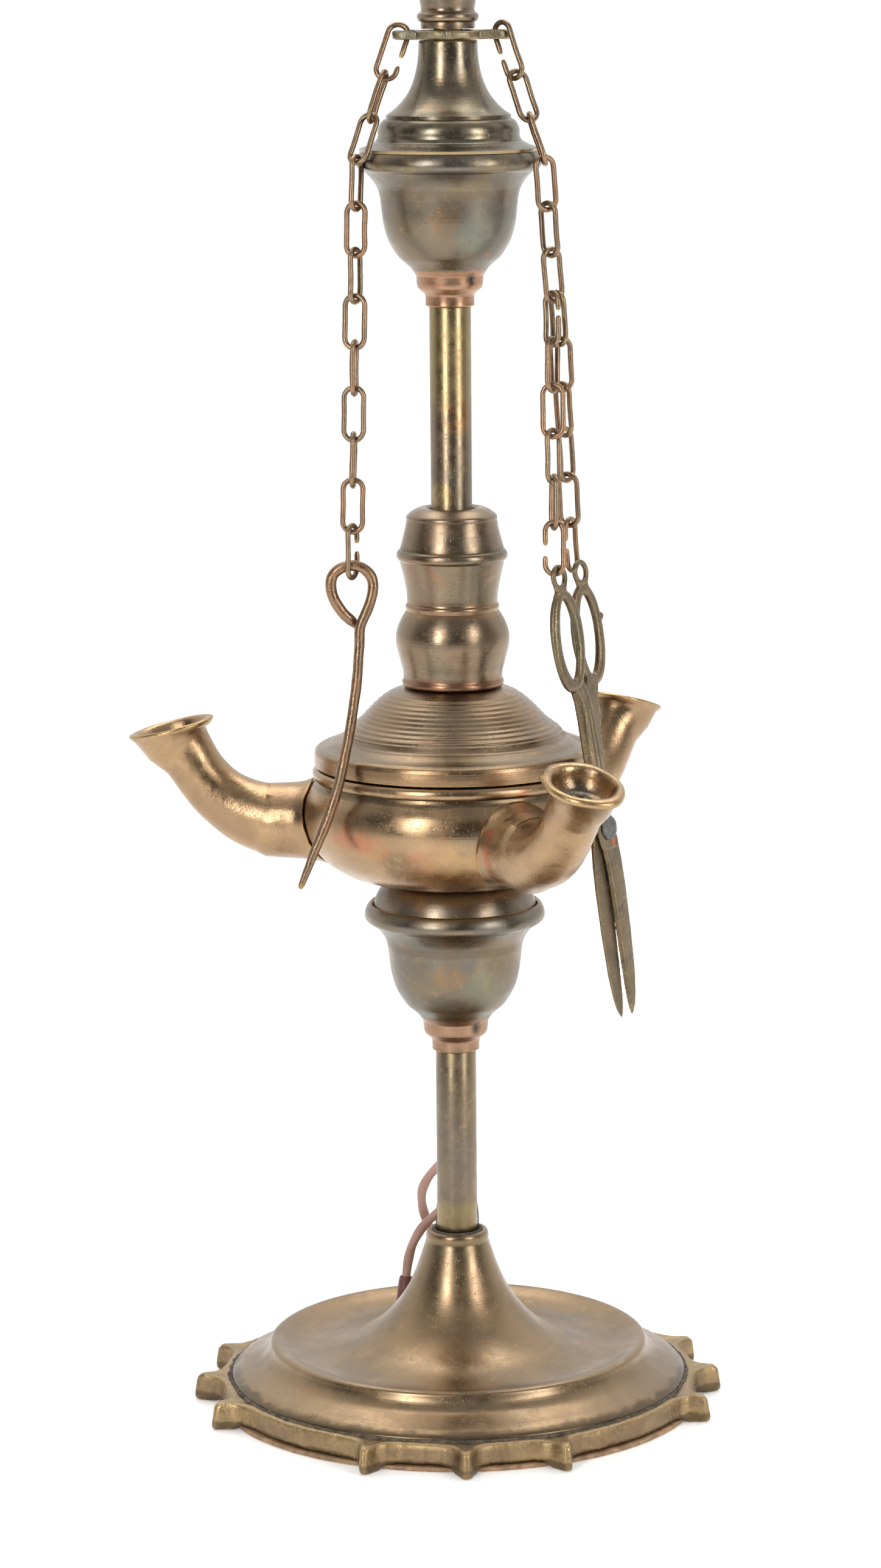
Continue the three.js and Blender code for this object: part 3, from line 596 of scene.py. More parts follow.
def make_foot():
    count = 1440
    angles = [360 * i / count for i in range(count)]
    edge = [foot_radius(a) for a in angles]
    edge = [(edge[i - 2] + 2 * edge[i - 1] + 3 * edge[i] + 2 * edge[(i + 1) % count]
        + edge[(i + 2) % count]) / 9 for i in range(count)]
    z0, z1 = (v.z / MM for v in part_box("toothed_foot"))
    levels = [(None, 26, z0), (None, 60, z0), (0.9, 0, z0), (0.35, 0, z0 + 0.35), (0.1, 0, z0 + 1.1),
        (0.0, 0, z0 + 2.6), (0.25, 0, z1 - 2.2), (0.35, 0, z1 - 0.9), (0.7, 0, z1 - 0.25), (1.3, 0, z1),
        (2.4, 0, z1 + 0.05), (3.4, 0, z1 - 0.2), (None, 78.6, z1 - 0.5), (None, 26, z1 - 0.6)]
    rings = []
    for inset, fixed, z in levels:
        ring = []
        for a, r in zip(angles, edge):
            tooth = max(0.0, (r - FOOT_RADIUS) / (CUSP_RADIUS - FOOT_RADIUS))
            reach = fixed if inset is None else r - inset * (1 + 0.5 * tooth)
            drop = 0.5 * tooth if z > z1 - 1 and inset is not None and inset < 1 else 0.0
            if inset is not None and z < z0 + 3:
                flared = min(1.0, max(0.0, (r - 84.6) / 1.6))
                reach += 0.9 * flared * (1 - (z - z0) / 3)
                drop = (z0 - 0.25) * flared * (1 - (z - z0) / 3)
            ring.append(polar(reach, rad(a), z - drop))
        rings.append(ring)
    verts, faces = rings_to_mesh(rings, closed=True)
    moved = []
    for v in verts:
        far = min(1.0, max(0.0, (Vector((v.x, v.y)).length - 79) / 3))
        push = (noise.noise_vector(v / 7) * 0.3 + noise.noise_vector(v / 2.2 + Vector((9, 3, 1))) * 0.13) * far
        moved.append(v + push)
    bands = [(z0 - 1, z0 + 0.8, 1.2, (0.1, 0.07, 0.04), 0.8), (z1 - 1.4, z1 + 1, 0.8, (0.42, 0.3, 0.15), 0.4)]
    metal = brass("foot_brass", base=(0.36, 0.255, 0.13), second=(0.25, 0.17, 0.1), patches=(0.4, 0.2, 0.11),
        patch_share=0.55, rough=(0.3, 0.5), turned=0, cast=1.0, bands=bands, pits=1.0)
    make("foot", moved, faces, "stem", "toothed_foot", "cast", metal, angle=50)
    groove = []
    for a in circle(360):
        wide = 80.6 + 0.8 * noise.noise(polar(22, a))
        section = ((78.9, -0.45), (wide, -0.4), (wide - 0.3, 0.28), (79.9, 0.55), (79.2, 0.5), (78.9, 0.1))
        groove.append([polar(r, a, z1 + z) for r, z in section])
    make("foot_dirt", *roughened(rings_to_mesh(groove, closed=True), 0.2, 1.4), "stem", None, None,
        plain("foot_grime", (0.035, 0.03, 0.022), (0.14, 0.11, 0.07), (0.75, 0.95), 420, 0.0004, 2200),
        angle=80)
    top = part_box("foot_disc")[1].z / MM
    disc = profile([(0.3, 0), [83, 0], (83.7, 0.2), (84, 0.6), (84, top - 0.4), [83.6, top], [0.3, top], (0.3, 0)])
    make("disc", *roughened(revolve(disc, 240), 0.12, 6), "stem", "foot_disc", "fibre",
        plain("fibre", (0.42, 0.26, 0.14), (0.24, 0.14, 0.075), (0.6, 0.85), 220, 0.0003, 1800))


# ------------------------------------------------------------------ cups and bell
CUP = [(7.9, 0), [8.25, 0.3], (8.2, 1.6), [8.25, 3.5], (8.6, 4.2), (9.5, 5), [10.7, 6.1], (11.05, 7.2),
    (11.2, 9), [11.3, 10.2], (12, 11.3), (13.2, 13), (15, 14.6), (17.2, 16.6), (20.6, 22.3), (22.2, 28),
    [22.9, 34], (23.3, 37), (24.2, 39.9), (26.2, 42.8), [28.4, 45], (30, 45.7), (30.9, 46.8), (31.1, 48.4),
    (30.5, 50.3), (29.6, 51.6), (29, 52)]
BELL = [(30.2, 434), (29, 434.5), (26.9, 435.3), [24.6, 436.5], (23.9, 437.6), [23.7, 438.4], (23.7, 440.2),
    (23.1, 442), (22, 443.4), [20.9, 444], [20.9, 445.1], (18.2, 447), (15.8, 449.4), (13.6, 452.3),
    (11.8, 456.2), (10.6, 460.6), (10, 464.8), [9.8, 469.3], (9.5, 469.7)]
CUP_DISC = [(28, 176.6), (27.2, 179), (25.6, 182), (23.6, 184.2), (21.4, 185.3), (18.6, 185.7)]


def shell(outline, wall, lift=0.0, sides=160, top_in=None):
    """A spun shell: the outline and, behind it, its inner face."""
    outer = profile(outline)
    inner = inward(thinned(outline), wall)
    if top_in:
        outer.append(Vector(top_in))
    return revolve(outer + inner, sides, lift)


def make_cups():
    cup_looks = dict(base=(0.216, 0.168, 0.11), second=(0.176, 0.16, 0.13), patches=(0.36, 0.24, 0.11),
        patch_share=0.4, rough=(0.25, 0.42), turned=0.6)
    for node in ("lower_cup", "upper_cup"):
        z = low(node)
        tint = (0.44, 0.24, 0.14) if node == "upper_cup" else (0.38, 0.22, 0.13)
        spots = [((8, -10, z + 9), 3.4, (0.04, 0.045, 0.04), 0.9), ((-5, -9, z + 3), 2.6, (0.05, 0.05, 0.04),
            0.8), ((-2, -22, z + 30), 7, (0.3, 0.17, 0.08), 0.5), ((10, -20, z + 24), 10, (0.2, 0.22, 0.16),
            0.5)]
        metal = brass(node + "_brass", bands=[(z - 1, z + 11.6, 1.2, tint, 0.75),
            (z + 37, z + 39, 1, (0.14, 0.09, 0.05), 0.4)], spots=spots, **cup_looks)
        make(node + "_shell", *shell(CUP, 0.9, z), "stem", node, "brass", metal)
    disc_brass = brass("disc_brass", base=(0.221, 0.168, 0.119), second=(0.153, 0.13, 0.097), rough=(0.26, 0.4),
        turned=1.2)
    make("cup_disc", *shell(CUP_DISC, 1.1, low("lower_cup_disc") - 176.6, top_in=(7.6, 185.7)), "stem",
        "lower_cup_disc", "brass", disc_brass)
    bell_brass = brass("bell_brass", base=(0.237, 0.19, 0.127), second=(0.176, 0.157, 0.115),
        patches=(0.35, 0.15, 0.08), patch_share=0.35, rough=(0.22, 0.36), turned=0.9,
        bands=[(442.6, 445.2, 0.6, (0.1, 0.08, 0.05), 0.5)])
    make("bell", *shell(BELL, 1, low("upper_bell") - 434, top_in=(5.5, 469.7)), "stem", "upper_bell", "brass",
        bell_brass)


# ------------------------------------------------------------------ font
BOWL = [(9, 186), [24, 186], (28.6, 186.2), (33.4, 187), (40, 189.6), (45.8, 194), (49.8, 199.6), (51.7, 205.2),
    (52, 210), (51, 214.6), [49, 218], (48, 219.4), [47.5, 220.6], (48.2, 221.3), (48.5, 222.2), (48.3, 223.5),
    (47.5, 224.5), (46.6, 224.9)]
LID = [(47.2, 225.2), [47.6, 225.5], (47.7, 227.6), [47.6, 229.8], (47.2, 230.9), (45.9, 231.8), [44.2, 232.3],
    (42.6, 232.9), (41.2, 233.7), [40.2, 234.2], (38.6, 234.8), (37.6, 236), (36.8, 237.3), (34.6, 239),
    (32, 241.1), (27.2, 246.1), (23, 249.5), (19.4, 251.3), (17.4, 251.9)]
NECK = [(16.6, 252.4), (17.2, 252.9), (17.4, 254), [16.9, 255.2], (17, 257.2), (18.2, 262), (19.3, 266.8),
    (19.3, 270.4), (18.3, 273.8), (16.9, 276.6), [15.7, 278.4], (15.9, 279.2), (16, 280), [15.4, 281],
    (15.5, 283.4), (16.3, 288.6), (17.5, 293.8), [17.9, 295.4], (18.7, 296.2), (18.9, 297.4), (18.5, 298.6),
    [17.8, 299.2], (16.9, 302.6), (15.9, 306.6), [15.5, 309.2], (15.4, 310.6), (14.4, 311.6), (12.6, 312.8),
    (10.6, 313.5), (9, 313.3), (8.3, 312.6)]


def bowl_radius(z):
    points = BOWL[1:]
    for (ra, za), (rb, zb) in zip(points, points[1:]):
        if za <= z <= zb and zb > za:
            return ra + (rb - ra) * (z - za) / (zb - za)
    return points[0][0] if z < points[0][1] else points[-1][0]


def on_bowl(point):
    """How far along x the bowl's surface lies at a point's height and y."""
    return math.sqrt(max(bowl_radius(point.z) ** 2 - point.y ** 2, 100))


def make_font():
    # The gold spot at (2, -50, 198) is a painted reflection, a bright highlight low on the front of the bowl.
    bowl_brass = brass("bowl_brass", base=(0.4, 0.262, 0.145), second=(0.33, 0.225, 0.13),
        patches=(0.44, 0.17, 0.085), patch_share=0.55, rough=(0.2, 0.36), turned=0.8,
        bands=[(218.8, 221, 0.7, (0.09, 0.07, 0.045), 0.6), (185, 190, 3, (0.42, 0.24, 0.12), 0.4)],
        spots=[((-37, -35, 207), 7, (0.46, 0.19, 0.1), 0.6), ((-31, -41, 206), 6, (0.48, 0.17, 0.085), 0.6),
        ((-25, -45, 204), 6, (0.46, 0.2, 0.1), 0.5), ((-12, -49, 198), 8, (0.46, 0.2, 0.1), 0.5),
        ((6, -52, 206), 7, (0.2, 0.18, 0.14), 0.5), ((2, -50, 198), 12, (0.52, 0.33, 0.15), 0.5),
        ((14, -47, 203), 10, (0.5, 0.16, 0.07), 0.6), ((-18, -46, 196), 10, (0.12, 0.09, 0.05), 0.5)])
    lid_brass = brass("lid_brass", base=(0.275, 0.19, 0.115), second=(0.23, 0.168, 0.11),
        patches=(0.46, 0.24, 0.12), patch_share=0.3, rough=(0.24, 0.36), turned=2.2,
        bands=[(224.5, 231, 1.5, (0.42, 0.24, 0.11), 0.35), (231.6, 233.2, 0.5, (0.2, 0.16, 0.1), 0.4)])
    neck_brass = brass("neck_brass", base=(0.258, 0.185, 0.122), second=(0.202, 0.163, 0.111),
        patches=(0.4, 0.17, 0.08), patch_share=0.4, rough=(0.22, 0.36), turned=1.2,
        bands=[(251, 255.4, 1, (0.3, 0.12, 0.06), 0.5), (277.4, 281.6, 0.8, (0.36, 0.2, 0.1), 0.4),
        (298.6, 300, 0.5, (0.1, 0.08, 0.05), 0.5)])
    make("bowl", *shell(BOWL, 1.5, sides=200), "font", "font_bowl", "brass", bowl_brass)
    runs = split(LID)
    outer = smooth(runs[:-1]) + smooth(runs[-1:], steps=14)[1:]
    grooved = []
    for p in outer:
        ridge = 0.09 * math.sin(p.y * 2 * math.pi / 1.35) if 236.5 < p.y < 250.5 else 0.0
        grooved.append(Vector((p.x + ridge, p.y + ridge * 0.6)))
    inner = inward(thinned(LID), 1.4)
    make("lid", *revolve(grooved + [Vector((15.2, 252))] + inner, 200), "font", "font_lid", "brass", lid_brass)
    make("neck", *shell(NECK, 1.5), "font", "font_neck", "brass", neck_brass)


SPOUTS = {"left": (175, 1.5), "front": (-65, 5.5), "rear": (52, 5.5)}      # azimuth and droop, degrees
ROOT_X, ROOT_Z, ROOT_RADIUS = 50, 204.7, 13.65
SPOUT = [(44, 204.5, 13.9), (54, 204.8, 13.6), (64, 206, 12.4), (73, 209.3, 11.2), (81, 215, 10),
    (86.7, 221.5, 9.4), (90.6, 228, 9.7), (93.8, 232.4, 11.2), (95.6, 235.4, 13), (96.4, 238.6, 15)]
# radius and step along the mouth's own axis, from the outer edge over the lip into the mouth
LIPS = {
    "left": [(13.6, -2.0), (14.6, -1.1), (15.1, -0.3), (14.9, 0.35), (14.1, 0.6), (12.9, 0.45), (12, -0.2),
        (11.4, -1.4), (10.4, -3), (9.2, -5)],
    "front": [(13.5, -2.6), (14.9, -1.9), (15.5, -0.9), (15.3, 0.2), (14.4, 0.8), (13.1, 0.85), (11.9, 0.3),
        (11.3, -0.8), (10.9, -2.2), (10.2, -4.4)],
    "rear": [(13.6, -1.8), (14.7, -0.9), (15.15, -0.25), (14.9, 0.3), (14.2, 0.45), (13.2, 0.2), (12.2, -0.5),
        (11.3, -1.7), (10.3, -3.2), (9.2, -5)],
}
LUMPS = {"left": 0.05, "front": 0.09, "rear": 0.035}
CORNERS = {"left": 0.03, "front": 0.11, "rear": 0.0}
THROAT = [(8.6, -6.4), (7.8, -6.9), (6.4, -7.2), (5.7, -7.9), (5.5, -9.4), (5.6, -12)]


def spout_rings(side, droop, count=72):
    centre = catmull(SPOUT, 6)
    tilt = rad(droop)
    cos, sin = math.cos(tilt), math.sin(tilt)

    def drooped(x, z):
        dx, dz = x - ROOT_X, z - ROOT_Z
        return dx * cos + dz * sin + ROOT_X, -dx * sin + dz * cos + ROOT_Z

    def ring(cx, cz, tx, tz, r, squeeze=1.0, lumps=0.0, corner=0.0):
        out = []
        for a in circle(count):
            uneven = noise.noise(polar(1.3, a, r * 0.13 + len(side)))
            off = (math.degrees(a) - 300 + 180) % 360 - 180
            reach = r * (1 + lumps * uneven + corner * math.exp(-off ** 2 / 160))
            up, wide = reach * math.cos(a), reach * math.sin(a) * squeeze
            x, z = drooped(cx - tz * up, cz + tx * up)
            out.append(Vector((x, wide, z)))
        return out

    rows = []
    for s, flare in ((0.35, 0.6), (0.5, 1.15), (1.0, 1.5), (1.7, 1.25), (2.6, 0.7), (4.2, 0.25), (7, 0.05),
            (11, 0.0), (15, 0.0)):
        w = min(1.0, max(0.0, (s - 2) / 13))
        w = w * w * (3 - 2 * w)
        out = s * 0.93
        plane = ring(ROOT_X + out, ROOT_Z + out * 0.06, 0.995, 0.1, ROOT_RADIUS - out * 0.06 + flare)
        rows.append([Vector(((1 - w) * (on_bowl(p) + s) + w * p.x, p.y, p.z)) for p in plane])
    for i, p in enumerate(centre):
        if p.x > 65.5 and i < len(centre) - 1:
            d = centre[i + 1] - centre[i - 1]
            t = Vector((d.x, d.y)).normalized()
            late = max(0.0, (p.x - 88) / 9)
            if p.x < 94.6:
                rows.append(ring(p.x, p.y, t.x, t.y, p.z, 1 - 0.13 * late, 0.02))
    end = centre[-1]
    d = centre[-1] - centre[-5]
    t = Vector((d.x, d.y)).normalized()
    for r, along in LIPS[side] + THROAT:
        lip = max(0.0, min(1.0, (r - 8) / 6))
        corner = CORNERS[side] * max(0.0, (r - 12.4) / 3)
        rows.append(ring(end.x + t.x * along, end.y + t.y * along, t.x, t.y, r, 0.85 + 0.1 * (1 - lip),
            LUMPS[side] * lip, corner))
    bore = catmull([(86.4, 221.5, 6), (77, 211.8, 7.5), (66, 206.6, 9), (56, 204.9, 9.8)], 4)
    for i, p in enumerate(bore):
        a, b = bore[max(i - 1, 0)], bore[min(i + 1, len(bore) - 1)]
        t = Vector((a.x - b.x, a.y - b.y)).normalized()
        rows.append(ring(p.x, p.y, t.x, t.y, p.z))
    last = ring(52, 204.8, 1, 0.02, 9.9)
    rows.append([Vector((on_bowl(p) + 0.35, p.y, p.z)) for p in last])
    return rows


def make_spouts():
    for side, (azimuth, droop) in SPOUTS.items():
        turn = Matrix.Rotation(rad(azimuth), 4, "Z")
        part = rings_to_mesh([r[::-1] for r in spout_rings(side, droop)], closed=True)
        part = placed(roughened(part, 0.22, 9, len(side)), turn)
        fall = math.sin(rad(droop))
        mouth = turn @ Vector((93.5, 0, 231.6 - fall * 44))
        throat = turn @ Vector((88, 0, 224 - fall * 38))
        root = turn @ Vector((52, 0, ROOT_Z))
        spots = [(mouth, 10, (0.12, 0.105, 0.08), 1.0), (throat, 6, (0.035, 0.03, 0.024), 1.0),
            (root + turn @ Vector((0, 0, -13)), 8, (0.4, 0.16, 0.08), 0.6)]
        if side == "front":
            for a in (215, 235, 255, 275, 295):
                solder = root + turn @ Vector((2, 13 * math.sin(rad(a)), 13 * math.cos(rad(a))))
                spots.append((solder, 3.2, (0.45, 0.12, 0.06), 0.8))
        metal = brass(f"spout_{side}_brass", base=(0.413, 0.276, 0.149), second=(0.336, 0.221, 0.127),
            patches=(0.42, 0.2, 0.1), patch_share=0.35, rough=(0.24, 0.4), turned=0, cast=0.45, spots=spots,
            pits=0.9, scale=1.2)
        make(f"spout_{side}_body", *part, "font", f"spout_{side}", "cast", metal, angle=60)


# ------------------------------------------------------------------ top
def make_top():
    z0 = low("top_spool")
    spool = profile([(5.4, 0), [8.9, 0], (9, 1.1), [9, 2.1], (9.9, 2.7), (10.3, 3.9), (10, 4.9), [9.2, 5.4],
        (8.9, 6.2), (9.2, 8.4), (10, 12.2), (11.2, 15.4), (11.8, 17.6), (11.4, 19.6), (9.8, 21.2), [8.6, 21.5],
        [5.4, 21.5], (5.4, 0)])
    make("spool", *revolve(spool, 144, z0), "stem", "top_spool", "brass", brass("spool_brass",
        base=(0.266, 0.198, 0.13), second=(0.209, 0.166, 0.119), patches=(0.4, 0.22, 0.11), patch_share=0.3,
        rough=(0.24, 0.38), turned=1.2))
    z0 = low("lampholder_shell")
    holder = profile([(5.4, 0), [9.4, 0], (11.6, 1), (13.2, 2.8), [14, 5.4], (13.8, 6.2), (14.1, 7),
        [13.9, 7.8], [13.9, 24], (14.3, 24.8), (14.3, 27.4), [13.9, 28.2], [13.9, 45], (14.2, 46.2),
        (13.6, 47.4), (12.9, 47.7), [12.4, 47], [12.4, 8.2], [5.4, 5.2], (5.4, 0)])
    make("lampholder", *revolve(holder, 144, z0), "stem", "lampholder_shell", "brass",
        brass("holder_brass", base=(0.42, 0.31, 0.13), second=(0.34, 0.25, 0.12), patch_share=0.15,
        rough=(0.2, 0.32), turned=0.8, pits=0.3))
    z0 = low("lampholder_insert")
    outline = profile([(0.3, 0), [12.1, 0], [12.1, 37], (11.6, 37.9), [10.6, 38], (8.3, 38)])
    turns, steps = 7, 70
    thread = [Vector((7.75 + 0.4 * math.cos(2 * math.pi * t * turns / steps), 37.6 - 31 * t / steps))
        for t in range(steps + 1)]
    outline += thread + [Vector((7.2, 6)), Vector((2.2, 6)), Vector((2.2, 7.2)), Vector((1.6, 7.6)),
        Vector((0.3, 7.6))]
    porcelain = Shader("holder_porcelain")
    glaze = porcelain.mix(porcelain.fit(porcelain.noise(300, 5), 0.35, 0.65), (0.78, 0.73, 0.63), (0.66, 0.6, 0.5))
    hollow = porcelain.math("LESS_THAN", porcelain.radius(), 8.25 * MM)
    porcelain.set("Base Color", porcelain.mix(hollow, glaze, (0.62, 0.44, 0.18)))
    porcelain.set("Metallic", hollow)
    porcelain.set("Roughness", porcelain.fit(porcelain.noise(90), 0.3, 0.7, (0.16, 0.3)))
    make("lampholder_core", *revolve(outline, 96, z0), "stem", "lampholder_insert", "porcelain", porcelain.material)
    dull = plain("rod_steel", (0.34, 0.32, 0.29), (0.26, 0.22, 0.17), (0.35, 0.55), 200, 0.0001, 2200, metallic=1.0)
    for node in ("tie_rod", "base_nut"):
        repaint(node, dull)
    repaint("font_sleeve", brass("sleeve_brass", base=(0.252, 0.194, 0.12), rough=(0.3, 0.45), turned=0.6))


def make_bar():
    lo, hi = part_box("chain_bar")
    z0, z1 = lo.z / MM, hi.z / MM
    middle, half, arm, hub = 1.4, 19.9, 4.2, 11.4
    count = 180
    outline = []
    for a in circle(count):
        reach = 0
        for step in range(400):
            r = 24 - step * 0.06
            x, y = r * math.cos(a), r * math.sin(a)
            off = max(0, abs(x - middle) - (half - arm))
            if x * x + y * y <= hub * hub or off * off + y * y <= arm * arm:
                reach = r
                break
        outline.append(reach)
    outline = [(outline[k - 1] + outline[k] * 2 + outline[(k + 1) % count]) / 4 for k in range(count)]
    levels = [(0.8, z0), (0.25, z0 + 0.25), (0, z0 + 0.8), (0, z1 - 0.8), (0.25, z1 - 0.25), (0.9, z1), (3.2, z1)]
    rings = []
    for inset, z in levels:
        rings.append([Vector(((r - inset) * math.cos(a), (r - inset * min(1, abs(math.sin(a)) + 0.4)) * math.sin(a),
            z)) for a, r in zip(circle(count), outline)])
    part = roughened(rings_to_mesh(rings), 0.3, 3.2, 4)
    obj = make("bar_plate", *part, "chain_bar", "chain_bar", "dark", brass("bar_brass",
        base=(0.2, 0.185, 0.131), second=(0.27, 0.22, 0.137), patches=(0.14, 0.15, 0.12), patch_share=0.6,
        rough=(0.34, 0.52), turned=0, cast=1.0, pits=1.0), angle=55)
    cutters = []
    for x, r in ((-12.9, 2.7), (0, 5.4), (15.4, 2.7)):
        hole = bpy.data.meshes.new("hole")
        pin = sweep([Vector((x, 0, z0 - 3)), Vector((x, 0, z1 + 3))], r, 36)
        hole.from_pydata([tuple(v * MM) for v in pin[0]], [], pin[1])
        tool = bpy.data.objects.new("hole", hole)
        scene.collection.objects.link(tool)
        cutters.append(tool)
        cut = obj.modifiers.new("hole", "BOOLEAN")
        cut.operation, cut.object, cut.solver = "DIFFERENCE", tool, "EXACT"
    apply(obj)
    for tool in cutters:
        bpy.data.objects.remove(tool)


def apply(obj):
    """Bakes an object's modifiers into its mesh."""
    graph = bpy.context.evaluated_depsgraph_get()
    graph.update()
    mesh = bpy.data.meshes.new_from_object(obj.evaluated_get(graph))
    obj.modifiers.clear()
    obj.data = mesh


# ------------------------------------------------------------------ chains
LINK_LENGTH, LINK_WIDTH, LINK_WIRE, LONG_LINK, LINK_PLAY = 19.3, 8.5, 1.8, 21.3, 0.45
CROSSING = (LINK_WIRE + LINK_PLAY) / 2
LEFT_TOP, LEFT_RIM, LEFT_END = (Vector(p) for p in ((-15.9, 0, 473.8), (-30.7, -15.4, 430.8), (-33.4, -27.8, 294.5)))
RIGHT_TOP, RIGHT_RIM, RIGHT_END = (Vector(p) for p in ((17.4, -1.4, 474.2), (32.2, -14.4, 428.5), (34.9, -13, 384)))
EYE_A, EYES, EYE_SPREAD = Vector((34.2, -28.5, 295)), Vector((0.55, 0.835, 0)).normalized(), 9.0
OUTWARD = Vector((EYES.y, -EYES.x, 0))
BESIDE_EYE = EYE_A + EYES * 2 * EYE_SPREAD - OUTWARD * 4.2


def pitch(length):
    return length - LINK_WIRE - 2 * CROSSING


def link_path(length, cut, seed):
    """Centre line of one link's wire in its own plane; cut is (height, side, gap) or None."""
    bend = (LINK_WIDTH - LINK_WIRE) / 2
    half = (length - LINK_WIDTH) / 2
    points = []
    for sign, start in ((1, 0), (-1, 180)):
        for k in range(13):
            a = rad(start + 180 * k / 12)
            points.append(Vector((bend * math.cos(a), sign * half + bend * math.sin(a), 0)))
        for k in (1, 2, 3):
            points.append(Vector((-sign * bend * (1 - 0.015 * math.sin(k * 0.8)), sign * half * (1 - k / 2), 0)))
    bow = 0.16 * math.sin(seed * 2.1)
    for p in points:
        p.x += bow * math.cos(p.y / length * math.pi) * (1 if p.x > 0 else -1) * 0.6
        p.z += 0.1 * math.sin(p.y * 0.35 + seed)
    if not cut:
        return points, True
    height, side, gap = cut
    ring = catmull(points, 3, closed=True)
    start = min(range(len(ring)), key=lambda i: abs(ring[i].y - height) + (20 if ring[i].x * side < 0 else 0))
    ring = ring[start:] + ring[:start]
    keep = [p for p in ring if not (p.x * side > bend * 0.7 and abs(p.y - height) < gap / 2)]
    if side < 0:
        keep = keep[::-1]
    first = max(range(len(keep)), key=lambda i: (keep[i] - keep[i - 1]).length)
    return keep[first:] + keep[:first], False


LINK_COLOURS = [((0.3, 0.19, 0.125), (0.22, 0.155, 0.11)), ((0.26, 0.175, 0.12), (0.31, 0.18, 0.11)),
    ((0.28, 0.2, 0.13), (0.21, 0.15, 0.105))]
LINK_METAL = [brass(f"link_brass_{k}", base=base, second=second, patches=(0.42, 0.19, 0.1), patch_share=0.45,
    rough=(0.28, 0.46), turned=0, cast=0.25, scale=3, pits=0.7) for k, (base, second) in enumerate(LINK_COLOURS)]


def hang(name, at, goal, turn, length=LINK_LENGTH, cut=None, seed=0.0):
    down = (goal - at).normalized()
    faced = Vector((math.cos(rad(turn)), math.sin(rad(turn)), 0))
    width = (faced - down * faced.dot(down)).normalized()
    up = -down
    middle = at + down * pitch(length) / 2
    place = Matrix.Translation(middle) @ Matrix((width, up, width.cross(up))).transposed().to_4x4()
    path, closed = link_path(length, cut, seed)
    fine = path if not closed else catmull(path, 2, closed=True)
    count = len(fine)

    def thickness(i):
        if closed or 1 < i < count - 2:
            return LINK_WIRE / 2
        return LINK_WIRE / 2 * (0.62 if i in (0, count - 1) else 0.96)

    part = sweep(fine, thickness, 14, closed)
    part = placed(roughened(part, 0.05, 1.6, seed), place)
    make("wire_" + name, *part, name, name, "copperwire", LINK_METAL[int(seed) % 3], angle=60)
    return at + down * pitch(length)


def chain(side, first, at, goal, turns, cuts=None):
    for i, turn in enumerate(turns):
        at = hang(f"{side}_link_{first + i}", at, goal, turn, cut=(cuts or {}).get(first + i),
            seed=first + i + len(side) * 0.7)
    return at


def make_chains():
    at = hang("left_link_1", LEFT_TOP, LEFT_RIM, 0, LONG_LINK, (-3, 1, 2.2), 1)
    at = chain("left", 2, at, LEFT_RIM, [75, -35])
    left_end = chain("left", 4, at, LEFT_END, [65, -24, 63, -18, 80, -10, 85, 0, 65], {12: (1, 1, 1.8)})
    at = hang("right_link_1", RIGHT_TOP, RIGHT_RIM, -40, LONG_LINK, (-1, -1, 1.6), 2)
    at = chain("right", 2, at, RIGHT_RIM, [30, -85])
    fork = chain("right", 4, at, RIGHT_END, [28, -45, 38])
    apart = Vector((math.cos(rad(38)), math.sin(rad(38)), 0)) * CROSSING
    lift = Vector((0, 0, 0.75))
    end_a = chain("fork_a", 1, fork - apart + lift, EYE_A, [-52, 60, -8, 52, -78, -28],
        {1: (2, 1, 1.4), 6: (-1, -1, 2.6)})
    chain("fork_b", 1, fork + apart + lift, BESIDE_EYE, [-52, 8, -50, 50, -30, 60], {6: (0, -1, 1.8)})
    return left_end, end_a


# ------------------------------------------------------------------ pick
PICK_WIRE, PICK_LEAN, PICK_LIFT = 3.8, 6.8, 1.1
PICK_ROUTE = [(1.3, 20.2), (-3.4, 15.6), (-6.9, 9.2), (-6.6, 3.6), (-3.6, 0.8), (0, 0), (3.8, 1), (6.6, 4.4),
    (6.8, 9), (4.8, 15.2), (2.6, 20.4), (2.2, 26), (1.4, 37), (-0.4, 50), (-2.6, 62), (-5.6, 75), (-9.4, 86),
    (-14, 97), (-18.4, 108)]


def make_pick(left_end):
    points = []
    for i, (x, down) in enumerate(PICK_ROUTE):
        y = 3.9 - 1.6 * i if i < 2 else 1.2 - 0.6 * (i - 2) if i < 4 else 0
        points.append((x, y, -down))
    path = catmull(points, 10)
    count = len(path)
    hung = left_end + Vector((0, 0, PICK_WIRE / 2 + PICK_LIFT))
    place = Matrix.Translation(hung) @ Matrix.Rotation(rad(-PICK_LEAN), 4, "X")

    def thickness(i):
        end = min(i, 4) / 4
        tail = max(0.0, (i - (count - 26)) / 26)
        blunt = 0.6 if i == count - 1 else 1
        taper = 1 - 0.1 * min(1, i / count * 1.3)
        return PICK_WIRE / 2 * (0.72 + 0.28 * end) * taper * (1 - 0.42 * tail ** 2.2) * blunt

    part = placed(roughened(sweep(path, thickness, 24), 0.14, 4.5, 3), place)
    metal = brass("pick_brass", base=(0.3, 0.18, 0.105), second=(0.24, 0.165, 0.105), patches=(0.4, 0.16, 0.09),
        patch_share=0.6, rough=(0.26, 0.42), turned=0, cast=0.7, scale=2, pits=0.8)
    make("pick_wire", *part, "pick", "pick", "copperwire", metal, angle=60)


# ------------------------------------------------------------------ scissors
EYE_HEIGHT, EYE_BORE, EYE_SHIFT, SCISSORS_LEAN, PLATE = 86, 2.6, 0.4, 8.5, 1.9
RING_HEIGHT, RING_ACROSS, RING_UP = 64.8, 7.2, 15.4
INNER_FACE = 0.15


